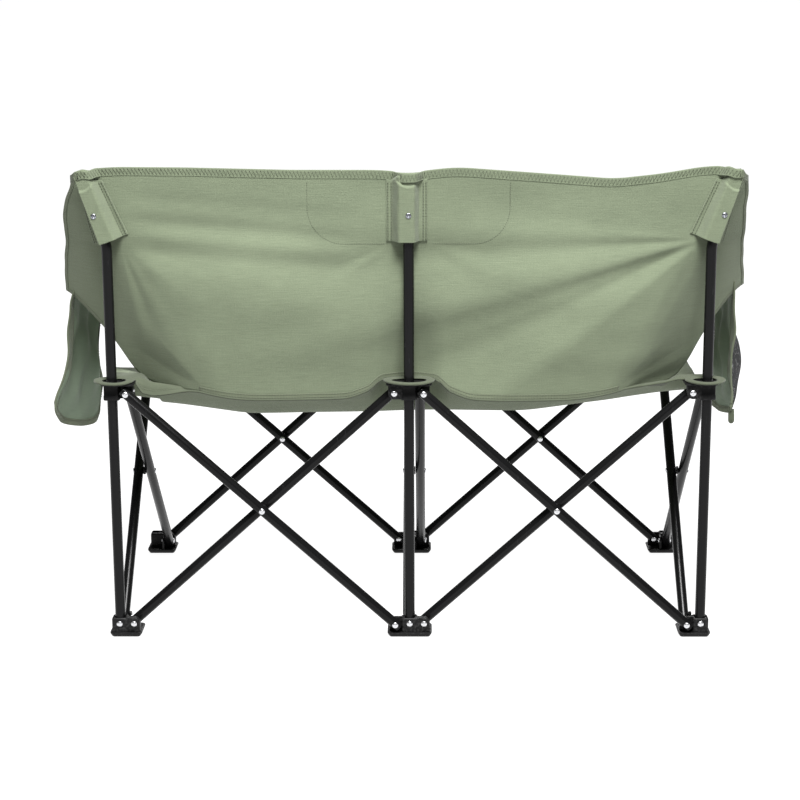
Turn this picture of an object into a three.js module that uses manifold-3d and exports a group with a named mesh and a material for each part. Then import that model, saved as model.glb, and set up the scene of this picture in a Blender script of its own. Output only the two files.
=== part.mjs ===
// Folding camping loveseat for two: a black steel scissor frame that gathers into a bundle,
// and sage green cloth slung from it. Millimetres, +Z up, +Y the way a sitter faces,
// +X to the sitter's right. The origin is the middle of the centre rear foot's sole.

import * as THREE from 'three';
import { mergeVertices } from 'three/addons/utils/BufferGeometryUtils.js';
import Module from 'manifold-3d';

const wasm = await Module();
wasm.setup();

// Frame layout
const BAY = 546; // upright to upright across, and upright to front hub in depth
const PIVOT_OFFSET = 27; // upright axis to the scissor pins of its foot and hub
const FOOT_PIN_HEIGHT = 25;
const PIN_RISE = 444; // foot pin to hub pin with the chair open
const HUB_PIN_HEIGHT = FOOT_PIN_HEIGHT + PIN_RISE;

// Tube
const TUBE_RADIUS = 9.5;
const TUBE_WALL = 1.4;
const TUBE_SIDES = 10;
const TUBE_END = 10.5; // tube past its end pin
const CLEARANCE = 0.3;

// Rivets
const PIN_RADIUS = 3;
const RIVET_HEAD_RADIUS = 5.2;
const RIVET_HEAD_HEIGHT = 2;
const RIVET_SIDES = 6;
const WASHER_RADIUS = 8;

// Feet and hubs
const WEB = 4; // thickness of the wall that a tube is pinned to
const BOSS_RADIUS = 12.6;
const BOSS_SIDES = 12;
const EAR_RADIUS = 11;
const PLATE_OUTER = 19; // plate edge past the upright on its free side
const PLATE_INNER = 42; // plate edge past the upright on its pinned side
const PLATE_CORNER = 9;
const PLATE_CHAMFER = 2;
const SOLE_THICKNESS = 9;
const HUB_PLATE_GAP = 15; // hub pin to the underside of the hub plate
const HUB_PLATE_THICKNESS = 4;
const SIDE_WEB_START = 22;
const BOSS_RISE = 13; // foot boss above the foot pins
const HUB_DROP = 16; // hub sleeve below the hub pins
const SIDE_PLANE_IN = 15; // side scissor plane, inward of an outer upright
const SIDE_PLANE_CENTRE = 8; // centre scissor plane, right of the centre upright
const STUB_HEIGHT = 24; // front centre hub peg above its plate
const SOCKET_FLOOR = 3; // under the arm post in a front hub
const SOCKET_DEPTH = 2; // a rear upright's seat below the top of the sole
const OVERCUT = 1; // how far a cut runs out past the face it opens

// Uprights and arm posts
const UPRIGHT_TOP = 862;
const BEND_HEIGHT = 740;
const BEND_RADIUS = 40;
const BEND_DEG = 19;
const BEND_SPANS = 4;
const POST_TOP = 640;
const CAP_HEIGHT = 3;
const PLUG_DEPTH = 14;

// Cloth
const CLOTH = 3;
const HEM_ABOVE_CAP = 7;
const BACK_TOP = UPRIGHT_TOP + CAP_HEIGHT + HEM_ABOVE_CAP;
const BACK_STANDOFF = 11.6; // upright axis to the middle of the back cloth
const BACK_BELLY = 34; // rearward bow of the lower back between uprights
const BELLY_FADE = [60, 380]; // below the top edge: where the bow starts, and where it is full
const FOLD_DEPTH = 3.2;
const FOLD_PITCH = 182;
const FOLD_SLANT = 0.55;
const FOLD_FADE = [100, 220]; // below the top edge: where the folds start, and where they are full
const BACK_COLUMNS = 38;
const BACK_ROWS = 9;
const BACK_CROWDING = 0.12; // closer columns toward the wings, where the cloth turns
const SEAT_LEVEL = HUB_PIN_HEIGHT + HUB_PLATE_GAP + HUB_PLATE_THICKNESS + CLEARANCE + CLOTH / 2;
const SEAT_REAR_SAG = 33;
const SEAT_FRONT_SAG = 14;
const SEAT_DEEP_SAG = 88; // lowest part of the seat below the hub plates
const SEAT_OVERHANG = 14; // seat cloth past the outer uprights and front hubs
const SEAT_REAR_EDGE = 15;
const HUB_REST_ACROSS = PLATE_INNER + 16; // seat cloth lies flat this far beside an upright
const HUB_REST_ALONG = PLATE_INNER + 4; // and this far in front of it
const HUB_FALL = PLATE_INNER + 50; // and hangs free from here
const SEAT_DROP = [10, 150]; // from a hub row: where the deep sag starts, and where it is full
const SEAT_SIDE_HOLD = 130; // width at each end where the side tube holds the seat up
const SEAT_SIDE_SHARE = 0.5; // share of the deep sag lost at the end
const SEAT_COLUMNS = 40;
const SEAT_ROWS = 6; // from a hub row to the middle
const SEAT_CROWDING = 1.2; // closer rows at the hubs
const LOOP_RADIUS = 33;
const LOOP_HOLE = 18;
const LOOP_SIDES = 20;
const SEAT_CREASE_GAP = 0.6; // at the middle, where the seat folds
const SEAM_GAP = 0.5;
const SEAM_HALF = 388; // half length of the seam from back to seat
const WING_PAST_UPRIGHT = 3;
const WING_START = BAY + WING_PAST_UPRIGHT;
const LEFT_RISE = [[SEAM_HALF, 0], [506, 46], [WING_START, 112], [585, 150], [640, 186]];
const RIGHT_RISE = [[SEAM_HALF, 0], [506, 58], [WING_START, 130], [585, 166], [640, 200]];
const WING_FORWARD = 76;
const WING_POWER = 1.3;
const TIP_MARGIN = 4; // cloth past the upright's tip
// For each side: the wing's width past the upright, the height over which it narrows to the tip,
// the rise of its lower edge, and the flap's outward swing and its pocket's fullness.
const LEFT = { sign: -1, wing: 85, taper: 105, rise: LEFT_RISE, flare: 46, bulge: 32 };
const RIGHT = { sign: 1, wing: 66, taper: 50, rise: RIGHT_RISE, flare: -12, bulge: 44 };

// Sleeves on the upright tops
const SLEEVE_WALL = 2.2;
const SLEEVE_GAP = 0.5;
const SLEEVE_FLANGE = 13;
const SLEEVE_BASE_HALF = 25; // half width where the sleeve leaves the back
const SLEEVE_CROWN_HALF = 9; // half width of its flat over the tube
const SLEEVE_START = 9; // sleeve mouth above the bend
const SLEEVE_LID = 3;
const SCREW_SHARE = 0.46; // screw's place between the bend and the tube's end
const SCREW_RADIUS = 2;
const SCREW_END = 3; // screw point short of the tube's axis

// Arms, side flaps and mesh pockets
const ARM_CLOTH = 4;
const ARM_WIDTH = 84;
const ARM_REAR = 92;
const ARM_OVERHANG = 16;
const ARM_FRONT = BAY + ARM_OVERHANG;
const ARM_REAR_RISE = 12;
const ARM_SAG = 9;
const ARM_HEM_DROP = 46;
const ARM_HEM_ROLL = 3;
const ARM_STEPS = 12;
const HEM_STEPS = 2;
const FLAP_CLOTH = 2;
const FLAP_REAR = 128;
const FLAP_FRONT = 306;
const FLAP_DROP = 258;
const FLAP_FOLD = 7;
const FLAP_FOLD_TURN = 4.5; // radians of fold from the rear edge to the front
const FLAP_FOLD_START = 0.8;
const FLAP_CORNER = 6; // the lower rear corner hangs this far forward of the upper one
const FLAP_STEPS = 7;
const MESH_CLOTH = 1.6;
const MESH_INSET = 10;
const MESH_TOP = 0.38; // share of the flap's drop above the pocket's mouth
const MESH_STEPS = 8;

// Stitched patch on the front of the back
const PATCH_HALF = 183;
const PATCH_DROP = 128;
const PATCH_TOP = 10; // below the top edge of the back
const PATCH_CORNER = 46;
const PATCH_CORNER_SHARE = 0.28; // share of the half width taken by a rounded lower corner
const PATCH_CLOTH = 1.4;
const PATCH_GAP = 0.7;

const black = () => new THREE.MeshStandardMaterial({ color: 0x1c1c1e, roughness: 0.45, metalness: 0.3 });
const plastic = () => new THREE.MeshStandardMaterial({ color: 0x161617, roughness: 0.6, metalness: 0 });
const zinc = () => new THREE.MeshStandardMaterial({ color: 0xc4c6c8, roughness: 0.3, metalness: 1 });
const sage = () => new THREE.MeshStandardMaterial({ color: 0x8c9a7c, roughness: 0.95, metalness: 0 });
const mesh = () => new THREE.MeshStandardMaterial({ color: 0x17181a, roughness: 0.9, metalness: 0 });

const PLANE_GAP = TUBE_RADIUS + WEB / 2 + CLEARANCE; // scissor mid plane to a tube's axis
const TUBE_BORE = TUBE_RADIUS - TUBE_WALL;
const BEND = THREE.MathUtils.degToRad(BEND_DEG);
const POSTS = [-BAY, 0, BAY];
const NAMES = ['left', 'centre', 'right'];
const SIDE_PLANES = [-BAY + SIDE_PLANE_IN, SIDE_PLANE_CENTRE, BAY - SIDE_PLANE_IN];
const X_AXIS = new THREE.Vector3(1, 0, 0);
const Y_AXIS = new THREE.Vector3(0, 1, 0);
const Z_AXIS = new THREE.Vector3(0, 0, 1);

// Solids

function toSolid(geometry) {
  const bare = new THREE.BufferGeometry();
  bare.setAttribute('position', geometry.getAttribute('position'));
  bare.setIndex(geometry.getIndex());
  const merged = mergeVertices(bare, 1e-4);
  const vertProperties = new Float32Array(merged.getAttribute('position').array);
  const triVerts = new Uint32Array(merged.getIndex().array);
  return new wasm.Manifold(new wasm.Mesh({ numProp: 3, vertProperties, triVerts }));
}

function toGeometry(solid) {
  const { vertProperties, triVerts } = solid.getMesh();
  const geometry = new THREE.BufferGeometry();
  geometry.setAttribute('position', new THREE.BufferAttribute(new Float32Array(vertProperties), 3));
  geometry.setIndex(new THREE.BufferAttribute(new Uint32Array(triVerts), 1));
  return geometry;
}

// A round bar from one point to another.
function bar(from, to, radius, sides) {
  const along = new THREE.Vector3().subVectors(to, from);
  const geometry = new THREE.CylinderGeometry(radius, radius, along.length(), sides);
  geometry.applyQuaternion(new THREE.Quaternion().setFromUnitVectors(Y_AXIS, along.clone().normalize()));
  geometry.translate(...new THREE.Vector3().addVectors(from, to).multiplyScalar(0.5));
  return toSolid(geometry);
}

// Radius of a many-sided hole that a round bar of this radius turns in freely.
function holeRadius(radius, sides) {
  return (radius + CLEARANCE) / Math.cos(Math.PI / sides);
}

function joined(solids) {
  return solids.reduce((whole, next) => whole.add(next));
}

function without(solid, cuts) {
  return cuts.reduce((left, cut) => left.subtract(cut), solid);
}

const at = (x, y, z) => new THREE.Vector3(x, y, z);
const along = (point, axis, distance) => point.clone().addScaledVector(axis, distance);

// A flat outline raised along +Z between two heights.
function raised(outline, low, high, chamfer = 0, curveSegments = 2) {
  const geometry = new THREE.ExtrudeGeometry(outline, {
    depth: high - low - 2 * chamfer,
    bevelEnabled: chamfer > 0,
    bevelThickness: chamfer,
    bevelSize: chamfer,
    bevelOffset: -chamfer,
    bevelSegments: 1,
    curveSegments,
  });
  geometry.translate(0, 0, low + chamfer);
  return geometry;
}

function roundedRectangle(x0, y0, x1, y1, r) {
  const outline = new THREE.Shape();
  outline.moveTo(x0 + r, y0);
  outline.lineTo(x1 - r, y0);
  outline.absarc(x1 - r, y0 + r, r, -Math.PI / 2, 0);
  outline.lineTo(x1, y1 - r);
  outline.absarc(x1 - r, y1 - r, r, 0, Math.PI / 2);
  outline.lineTo(x0 + r, y1);
  outline.absarc(x0 + r, y1 - r, r, Math.PI / 2, Math.PI);
  outline.lineTo(x0, y0 + r);
  outline.absarc(x0 + r, y0 + r, r, Math.PI, 1.5 * Math.PI);
  return outline;
}

// A closed sheet: a surface of two shares from 0 to 1, thickened evenly to both sides.
function sheet(across, up, surface, thickness) {
  const rows = up + 1;
  const points = [];
  const step = 1e-4;
  for (const side of [0.5, -0.5]) {
    for (let i = 0; i <= across; i += 1) {
      for (let j = 0; j <= up; j += 1) {
        const u = i / across;
        const v = j / up;
        const alongU = surface(Math.min(u + step, 1), v).sub(surface(Math.max(u - step, 0), v));
        const alongV = surface(u, Math.min(v + step, 1)).sub(surface(u, Math.max(v - step, 0)));
        const normal = alongU.cross(alongV).normalize();
        points.push(surface(u, v).addScaledVector(normal, side * thickness));
      }
    }
  }
  const far = (across + 1) * rows;
  const index = (i, j) => i * rows + j;
  const faces = [];
  const quad = (a, b, c, d) => faces.push(a, b, c, a, c, d);
  for (let i = 0; i < across; i += 1) {
    for (let j = 0; j < up; j += 1) {
      quad(index(i, j), index(i + 1, j), index(i + 1, j + 1), index(i, j + 1));
      quad(far + index(i, j), far + index(i, j + 1), far + index(i + 1, j + 1), far + index(i + 1, j));
    }
    quad(index(i, 0), far + index(i, 0), far + index(i + 1, 0), index(i + 1, 0));
    quad(index(i + 1, up), far + index(i + 1, up), far + index(i, up), index(i, up));
  }
  for (let j = 0; j < up; j += 1) {
    quad(index(0, j + 1), far + index(0, j + 1), far + index(0, j), index(0, j));
    quad(index(across, j), far + index(across, j), far + index(across, j + 1), index(across, j + 1));
  }
  const geometry = new THREE.BufferGeometry();
  geometry.setAttribute('position', new THREE.Float32BufferAttribute(points.flatMap((p) => p.toArray()), 3));
  geometry.setIndex(faces);
  return toSolid(geometry);
}

const loveseat = new THREE.Group();
loveseat.name = 'folding_loveseat';

function place(name, solid, material) {
  const part = new THREE.Mesh(toGeometry(solid), material);
  part.name = name;
  loveseat.add(part);
}

// Scissor tubes

// A rivet at a tube end: a head on the outer side, and a shank through the web toward +axis.
function endRivet(pin, axis) {
  const outer = -TUBE_RADIUS;
  const wall = TUBE_RADIUS - TUBE_WALL / 2;
  const inner = PLANE_GAP + WEB / 2 + CLEARANCE;
  const span = (from, to, radius) => bar(along(pin, axis, from), along(pin, axis, to), radius, RIVET_SIDES);
  return [
    span(outer - RIVET_HEAD_HEIGHT, outer + TUBE_WALL / 2, RIVET_HEAD_RADIUS),
    span(wall, inner + RIVET_HEAD_HEIGHT / 2, PIN_RADIUS),
    span(inner, inner + RIVET_HEAD_HEIGHT, RIVET_HEAD_RADIUS),
  ];
}

// A tube pinned at both ends and holed in the middle. The webs lie toward +webAxis.
function scissorTube(name, lower, upper, webAxis) {
  const direction = new THREE.Vector3().subVectors(upper, lower).normalize();
  const start = along(lower, direction, -TUBE_END);
  const end = along(upper, direction, TUBE_END);
  const middle = new THREE.Vector3().addVectors(lower, upper).multiplyScalar(0.5);
  const hole = holeRadius(PIN_RADIUS, RIVET_SIDES);
  const through = TUBE_RADIUS + OVERCUT;
  const hollow = without(bar(start, end, TUBE_RADIUS, TUBE_SIDES), [
    bar(along(start, direction, -OVERCUT), along(end, direction, OVERCUT), TUBE_BORE, TUBE_SIDES),
    bar(along(middle, webAxis, -through), along(middle, webAxis, through), hole, RIVET_SIDES),
  ]);
  place(name, joined([hollow, ...endRivet(lower, webAxis), ...endRivet(upper, webAxis)]), black());
}

// The rivet at a crossing, with the washer that keeps the two tubes apart.
function crossingRivet(name, centre, axis) {
  const reach = PLANE_GAP + TUBE_RADIUS + CLEARANCE;
  const washer = WEB / 2;
  const head = (side) => bar(
    along(centre, axis, side * reach),
    along(centre, axis, side * (reach + RIVET_HEAD_HEIGHT)),
    RIVET_HEAD_RADIUS,
    RIVET_SIDES,
  );
  const inHead = reach + RIVET_HEAD_HEIGHT / 2;
  const shank = bar(along(centre, axis, -inHead), along(centre, axis, inHead), PIN_RADIUS, RIVET_SIDES);
  const spacer = bar(along(centre, axis, -washer), along(centre, axis, washer), WASHER_RADIUS, TUBE_SIDES);
  place(name, joined([shank, head(-1), head(1), spacer]), zinc());
}

// One scissor in the plane of two uprights. Tube a falls to the right, tube b rises to the right.
function crossScissor(name, leftPost, rightPost, depth) {
  const near = leftPost + PIVOT_OFFSET;
  const far = rightPost - PIVOT_OFFSET;
  const a = depth - PLANE_GAP;
  const b = depth + PLANE_GAP;
  scissorTube(`${name}_tube_a`, at(far, a, FOOT_PIN_HEIGHT), at(near, a, HUB_PIN_HEIGHT), Y_AXIS);
  const backward = Y_AXIS.clone().negate();
  scissorTube(`${name}_tube_b`, at(near, b, FOOT_PIN_HEIGHT), at(far, b, HUB_PIN_HEIGHT), backward);
  const middle = at((near + far) / 2, depth, FOOT_PIN_HEIGHT + PIN_RISE / 2);
  crossingRivet(`${name}_rivet`, middle, Y_AXIS);
}

// One scissor from rear to front. Tube a rises to the front hub, tube b to the rear hub.
function depthScissor(name, plane) {
  const rear = PIVOT_OFFSET;
  const front = BAY - PIVOT_OFFSET;
  const a = plane - PLANE_GAP;
  const b = plane + PLANE_GAP;
  scissorTube(`${name}_tube_a`, at(a, rear, FOOT_PIN_HEIGHT), at(a, front, HUB_PIN_HEIGHT), X_AXIS);
  const leftward = X_AXIS.clone().negate();
  scissorTube(`${name}_tube_b`, at(b, front, FOOT_PIN_HEIGHT), at(b, rear, HUB_PIN_HEIGHT), leftward);
  crossingRivet(`${name}_rivet`, at(plane, BAY / 2, FOOT_PIN_HEIGHT + PIN_RISE / 2), X_AXIS);
}

for (const bay of [0, 1]) {
  const side = bay === 0 ? 'left' : 'right';
  crossScissor(`rear_${side}`, POSTS[bay], POSTS[bay + 1], 0);
  crossScissor(`front_${side}`, POSTS[bay], POSTS[bay + 1], BAY);
}
NAMES.forEach((name, i) => depthScissor(`side_${name}`, SIDE_PLANES[i]));

// Feet and hubs

// An ear for one pin: a wall from the plate to a round end about the pin.
function ear(pinOffset, start, thickness, plateZ) {
  const end = pinOffset + EAR_RADIUS;
  const crown = EAR_RADIUS * Math.sign(-plateZ);
  const outline = new THREE.Shape();
  outline.moveTo(start, plateZ);
  outline.lineTo(end, plateZ);
  outline.lineTo(end, crown * 0.4);
  outline.lineTo(end - EAR_RADIUS * 0.5, crown);
  outline.lineTo(start, crown);
  outline.closePath();
  const geometry = raised(outline, -thickness / 2, thickness / 2);
  geometry.rotateX(Math.PI / 2);
  return geometry;
}

// A foot has its plate below the pins, a hub above them. Row 0 is the rear and 1 the front.
function bracket(kind, column, row) {
  const foot = kind === 'foot';
  const forward = row === 0 ? 1 : -1;
  const centre = at(POSTS[column], row * BAY, foot ? FOOT_PIN_HEIGHT : HUB_PIN_HEIGHT);
  const plateLow = foot ? -FOOT_PIN_HEIGHT : HUB_PLATE_GAP;
  const plateHigh = foot ? SOLE_THICKNESS - FOOT_PIN_HEIGHT : HUB_PLATE_GAP + HUB_PLATE_THICKNESS;
  const plateMid = (plateLow + plateHigh) / 2;
  const left = column === 0 ? -PLATE_OUTER : -PLATE_INNER;
  const right = column === 2 ? PLATE_OUTER : PLATE_INNER;
  const back = row === 0 ? -PLATE_OUTER : -PLATE_INNER;
  const front = row === 0 ? PLATE_INNER : PLATE_OUTER;
  const outline = roundedRectangle(left, back, right, front, PLATE_CORNER);
  const chamfer = foot ? PLATE_CHAMFER : HUB_PLATE_THICKNESS / 4;
  const solids = [toSolid(raised(outline, plateLow, plateHigh, chamfer))];
  const bossLow = foot ? plateMid : -HUB_DROP;
  const bossHigh = foot ? BOSS_RISE : plateMid;
  solids.push(bar(at(0, 0, bossLow), at(0, 0, bossHigh), BOSS_RADIUS, BOSS_SIDES));
  const hole = holeRadius(PIN_RADIUS, RIVET_SIDES);
  const cuts = [];
  const sides = [column > 0 ? -1 : 0, column < 2 ? 1 : 0].filter((side) => side !== 0);
  for (const side of sides) {
    const wall = ear(PIVOT_OFFSET, BOSS_RADIUS - WEB / 2, WEB, plateMid);
    if (side < 0) wall.rotateZ(Math.PI);
    solids.push(toSolid(wall));
    const x = side * PIVOT_OFFSET;
    cuts.push(bar(at(x, -WEB, 0), at(x, WEB, 0), hole, RIVET_SIDES));
  }
  const plane = SIDE_PLANES[column] - POSTS[column];
  const sideWall = ear(PIVOT_OFFSET, SIDE_WEB_START, WEB, plateMid);
  sideWall.rotateZ((forward * Math.PI) / 2);
  sideWall.translate(plane, 0, 0);
  solids.push(toSolid(sideWall));
  const y = forward * PIVOT_OFFSET;
  cuts.push(bar(at(plane - WEB, y, 0), at(plane + WEB, y, 0), hole, RIVET_SIDES));

  const bore = holeRadius(TUBE_RADIUS, BOSS_SIDES);
  const holdsTube = row === 0 || (!foot && column !== 1);
  if (holdsTube && foot) {
    cuts.push(bar(at(0, 0, plateHigh - SOCKET_DEPTH), at(0, 0, BOSS_RISE + OVERCUT), bore, BOSS_SIDES));
    cuts.push(bar(at(0, -BOSS_RADIUS - OVERCUT, 0), at(0, 0, 0), hole, RIVET_SIDES));
  } else if (holdsTube) {
    const floor = row === 0 ? -HUB_DROP - OVERCUT : SOCKET_FLOOR - HUB_DROP;
    cuts.push(bar(at(0, 0, floor), at(0, 0, plateHigh + OVERCUT), bore, BOSS_SIDES));
  } else if (!foot) {
    const top = plateHigh + STUB_HEIGHT;
    solids.push(bar(at(0, 0, plateMid), at(0, 0, top), TUBE_RADIUS, TUBE_SIDES));
    cuts.push(bar(at(0, 0, top - PLUG_DEPTH - OVERCUT), at(0, 0, top + OVERCUT), TUBE_BORE, TUBE_SIDES));
  }
  const solid = without(joined(solids), cuts).translate(centre.toArray());
  place(`${row === 0 ? 'rear' : 'front'}_${NAMES[column]}_${kind}`, solid, plastic());
}

for (const column of [0, 1, 2]) {
  for (const row of [0, 1]) {
    bracket('foot', column, row);
    bracket('hub', column, row);
  }
}

// Uprights, arm posts and their caps

// A plug and rim that close a tube end. The tube ends at top and points along direction.
function cap(name, top, direction) {
  const end = along(top, direction, CAP_HEIGHT);
  const rim = bar(along(top, direction, CLEARANCE), end, TUBE_RADIUS, TUBE_SIDES);
  const plug = bar(
    along(top, direction, -PLUG_DEPTH),
    along(top, direction, CAP_HEIGHT / 2),
    TUBE_BORE * Math.cos(Math.PI / TUBE_SIDES) - CLEARANCE,
    TUBE_SIDES,
  );
  place(name, rim.add(plug), plastic());
}

// The line of a rear upright: straight from the foot, then leaning outward by lean.
function uprightLine(x, lean, low) {
  const path = new THREE.CurvePath();
  const corner = at(x, 0, BEND_HEIGHT);
  const slope = leanAxis(lean);
  const trim = BEND_RADIUS * Math.tan(Math.abs(lean) / 2);
  const top = along(corner, slope, bentLength(lean));
  if (lean === 0) {
    path.add(new THREE.LineCurve3(at(x, 0, low), top));
    return { path, top, slope, spans: 1 };
  }
  const bendStart = at(x, 0, BEND_HEIGHT - trim);
  const bendEnd = along(corner, slope, trim);
  path.add(new THREE.LineCurve3(at(x, 0, low), bendStart));
  path.add(new THREE.QuadraticBezierCurve3(bendStart, corner, bendEnd));
  path.add(new THREE.LineCurve3(bendEnd, top));
  return { path, top, slope, spans: BEND_SPANS };
}

// A ring or disc swept along straight pieces of a line, each piece joined to the next.
function sweptBar(line, radius, extra) {
  const stops = [];
  for (const curve of line.path.curves) {
    const steps = curve.isLineCurve3 ? 1 : line.spans;
    for (let i = 0; i < steps; i += 1) stops.push(curve.getPoint(i / steps));
  }
  stops.push(line.top.clone());
  stops[0].z -= extra;
  stops[stops.length - 1].addScaledVector(line.slope, extra);
  const sides = TUBE_SIDES;
  const positions = [];
  stops.forEach((stop, i) => {
    const before = stops[Math.max(i - 1, 0)];
    const after = stops[Math.min(i + 1, stops.length - 1)];
    const into = new THREE.Vector3().subVectors(stop, before).normalize();
    const out = new THREE.Vector3().subVectors(after, stop).normalize();
    const slope = new THREE.Vector3().addVectors(into, out).normalize();
    const across = new THREE.Vector3().crossVectors(Y_AXIS, slope).normalize();
    for (let k = 0; k < sides; k += 1) {
      const turn = (2 * Math.PI * (k + 0.5)) / sides;
      const spoke = across.clone().multiplyScalar(Math.cos(turn)).addScaledVector(Y_AXIS, Math.sin(turn));
      positions.push(...stop.clone().addScaledVector(spoke, radius).toArray());
    }
  });
  const last = stops.length - 1;
  positions.push(...stops[0].toArray(), ...stops[last].toArray());
  const faces = [];
  for (let k = 0; k < sides; k += 1) {
    const next = (k + 1) % sides;
    for (let i = 0; i < last; i += 1) {
      const a = i * sides + k;
      const b = i * sides + next;
      faces.push(a, b, b + sides, a, b + sides, a + sides);
    }
    faces.push(stops.length * sides, next, k);
    faces.push(stops.length * sides + 1, last * sides + k, last * sides + next);
  }
  const geometry = new THREE.BufferGeometry();
  geometry.setAttribute('position', new THREE.Float32BufferAttribute(positions, 3));
  geometry.setIndex(faces);
  return toSolid(geometry);
}

const LEANS = [-BEND, 0, BEND];
const bentLength = (lean) => (UPRIGHT_TOP - BEND_HEIGHT) / Math.cos(lean);
const leanAxis = (lean) => at(Math.sin(lean), 0, Math.cos(lean));
const screwPlace = (x, lean) => along(at(x, 0, BEND_HEIGHT), leanAxis(lean), SCREW_SHARE * bentLength(lean));

POSTS.forEach((x, column) => {
  const lean = LEANS[column];
  const line = uprightLine(x, lean, SOLE_THICKNESS - SOCKET_DEPTH + CLEARANCE);
  const screw = screwPlace(x, lean);
  const outside = along(screw, Y_AXIS, -TUBE_RADIUS - OVERCUT);
  const hollow = without(sweptBar(line, TUBE_RADIUS, 0), [
    sweptBar(line, TUBE_BORE, OVERCUT),
    bar(screw, outside, holeRadius(SCREW_RADIUS, RIVET_SIDES), RIVET_SIDES),
  ]);
  const pin = at(x, 0, FOOT_PIN_HEIGHT);
  const face = -BOSS_RADIUS - CLEARANCE;
  const inHead = along(pin, Y_AXIS, face - RIVET_HEAD_HEIGHT / 2);
  const inWall = along(pin, Y_AXIS, TUBE_RADIUS - TUBE_WALL / 2);
  const shank = bar(inHead, inWall, PIN_RADIUS, RIVET_SIDES);
  const head = bar(
    along(pin, Y_AXIS, face - RIVET_HEAD_HEIGHT),
    along(pin, Y_AXIS, face),
    RIVET_HEAD_RADIUS,
    RIVET_SIDES,
  );
  place(`rear_${NAMES[column]}_upright`, joined([hollow, shank, head]), black());
  cap(`rear_${NAMES[column]}_cap`, line.top, line.slope);
});

for (const column of [0, 2]) {
  const x = POSTS[column];
  const low = at(x, BAY, HUB_PIN_HEIGHT - HUB_DROP + SOCKET_FLOOR + CLEARANCE);
  const top = at(x, BAY, POST_TOP);
  const hollow = without(bar(low, top, TUBE_RADIUS, TUBE_SIDES), [
    bar(along(low, Z_AXIS, -OVERCUT), along(top, Z_AXIS, OVERCUT), TUBE_BORE, TUBE_SIDES),
  ]);
  place(`${NAMES[column]}_arm_post`, hollow, black());
  cap(`${NAMES[column]}_arm_post_cap`, top, Z_AXIS);
}
const pegTop = HUB_PIN_HEIGHT + HUB_PLATE_GAP + HUB_PLATE_THICKNESS + STUB_HEIGHT;
cap('front_centre_cap', at(0, BAY, pegTop), Z_AXIS);

// Back cloth

const smooth = (low, high, value) => THREE.MathUtils.smoothstep(value, low, high);
const betweenPosts = (x) => Math.sin((Math.PI * x) / BAY) ** 2;

// Height of the middle of the seat cloth. It lies flat on each hub plate, sags along its rear and
// front edges between the hubs, and hangs like a hammock from one edge to the other.
function seatHeight(x, y) {
  const fromPost = Math.min(Math.abs(x), Math.abs(Math.abs(x) - BAY));
  const fromRow = Math.min(Math.abs(y), Math.abs(y - BAY));
  const beside = 1 - smooth(HUB_REST_ACROSS, HUB_FALL, fromPost);
  const before = 1 - smooth(HUB_REST_ALONG, HUB_FALL, fromRow);
  const share = THREE.MathUtils.clamp(y / BAY, 0, 1);
  const inside = Math.min(Math.abs(x), BAY);
  const edge = THREE.MathUtils.lerp(SEAT_REAR_SAG, SEAT_FRONT_SAG, share) * betweenPosts(inside);
  const held = SEAT_SIDE_SHARE * smooth(BAY - SEAT_SIDE_HOLD, BAY + SEAT_OVERHANG, Math.abs(x));
  const sag = THREE.MathUtils.lerp(edge, SEAT_DEEP_SAG * (1 - held), smooth(...SEAT_DROP, fromRow));
  return SEAT_LEVEL - sag * (1 - beside * before);
}

// How far the wing's lower edge stands above the seat seam, read along its corners.
function wingRise(side, x) {
  const k = side.rise.findIndex(([edge]) => edge >= x);
  if (k <= 0) return 0;
  const [x0, z0] = side.rise[k - 1];
  const [x1, z1] = side.rise[k];
  return z0 + ((z1 - z0) * (x - x0)) / (x1 - x0);
}

function backLowerEdge(side, x) {
  const reach = Math.abs(x);
  const seam = seatHeight(Math.min(reach, SEAM_HALF), SEAT_REAR_EDGE) + CLOTH + SEAM_GAP;
  return seam + wingRise(side, reach);
}

// Where the back cloth turns forward: at the upright, and outward with its bent top.
const wingRoot = (z) => WING_START + Math.max(0, z - BEND_HEIGHT) * Math.tan(BEND);

// The half width of the cloth at a height, narrowing to the tip of the bent upright.
function backHalfWidth(side, z) {
  const tip = wingRoot(BACK_TOP) + TIP_MARGIN;
  const full = WING_START + side.wing;
  return THREE.MathUtils.lerp(full, tip, smooth(BACK_TOP - side.taper, BACK_TOP, z) ** 1.5);
}

// Front to back position of the middle of the cloth.
function backDepth(x, z, side) {
  const below = BACK_TOP - z;
  const inside = Math.abs(x) < BAY ? betweenPosts(x) : 0;
  const belly = BACK_BELLY * inside * smooth(...BELLY_FADE, below);
  const fold = Math.sin((2 * Math.PI * (FOLD_SLANT * x + below)) / FOLD_PITCH);
  const folds = FOLD_DEPTH * inside * fold * smooth(...FOLD_FADE, below);
  const past = Math.max(0, Math.abs(x) - wingRoot(z)) / side.wing;
  return BACK_STANDOFF - belly + folds + WING_FORWARD * past ** WING_POWER;
}

function backSurface(u, v) {
  const even = 2 * u - 1;
  const span = even + BACK_CROWDING * Math.sin(Math.PI * even);
  const side = span < 0 ? LEFT : RIGHT;
  const reach = span * (WING_START + side.wing);
  const z = THREE.MathUtils.lerp(backLowerEdge(side, reach), BACK_TOP, v);
  const x = span * backHalfWidth(side, z);
  return at(x, backDepth(x, z, side), z);
}

place('back_cloth', sheet(BACK_COLUMNS, BACK_ROWS, backSurface, CLOTH), sage());

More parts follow.
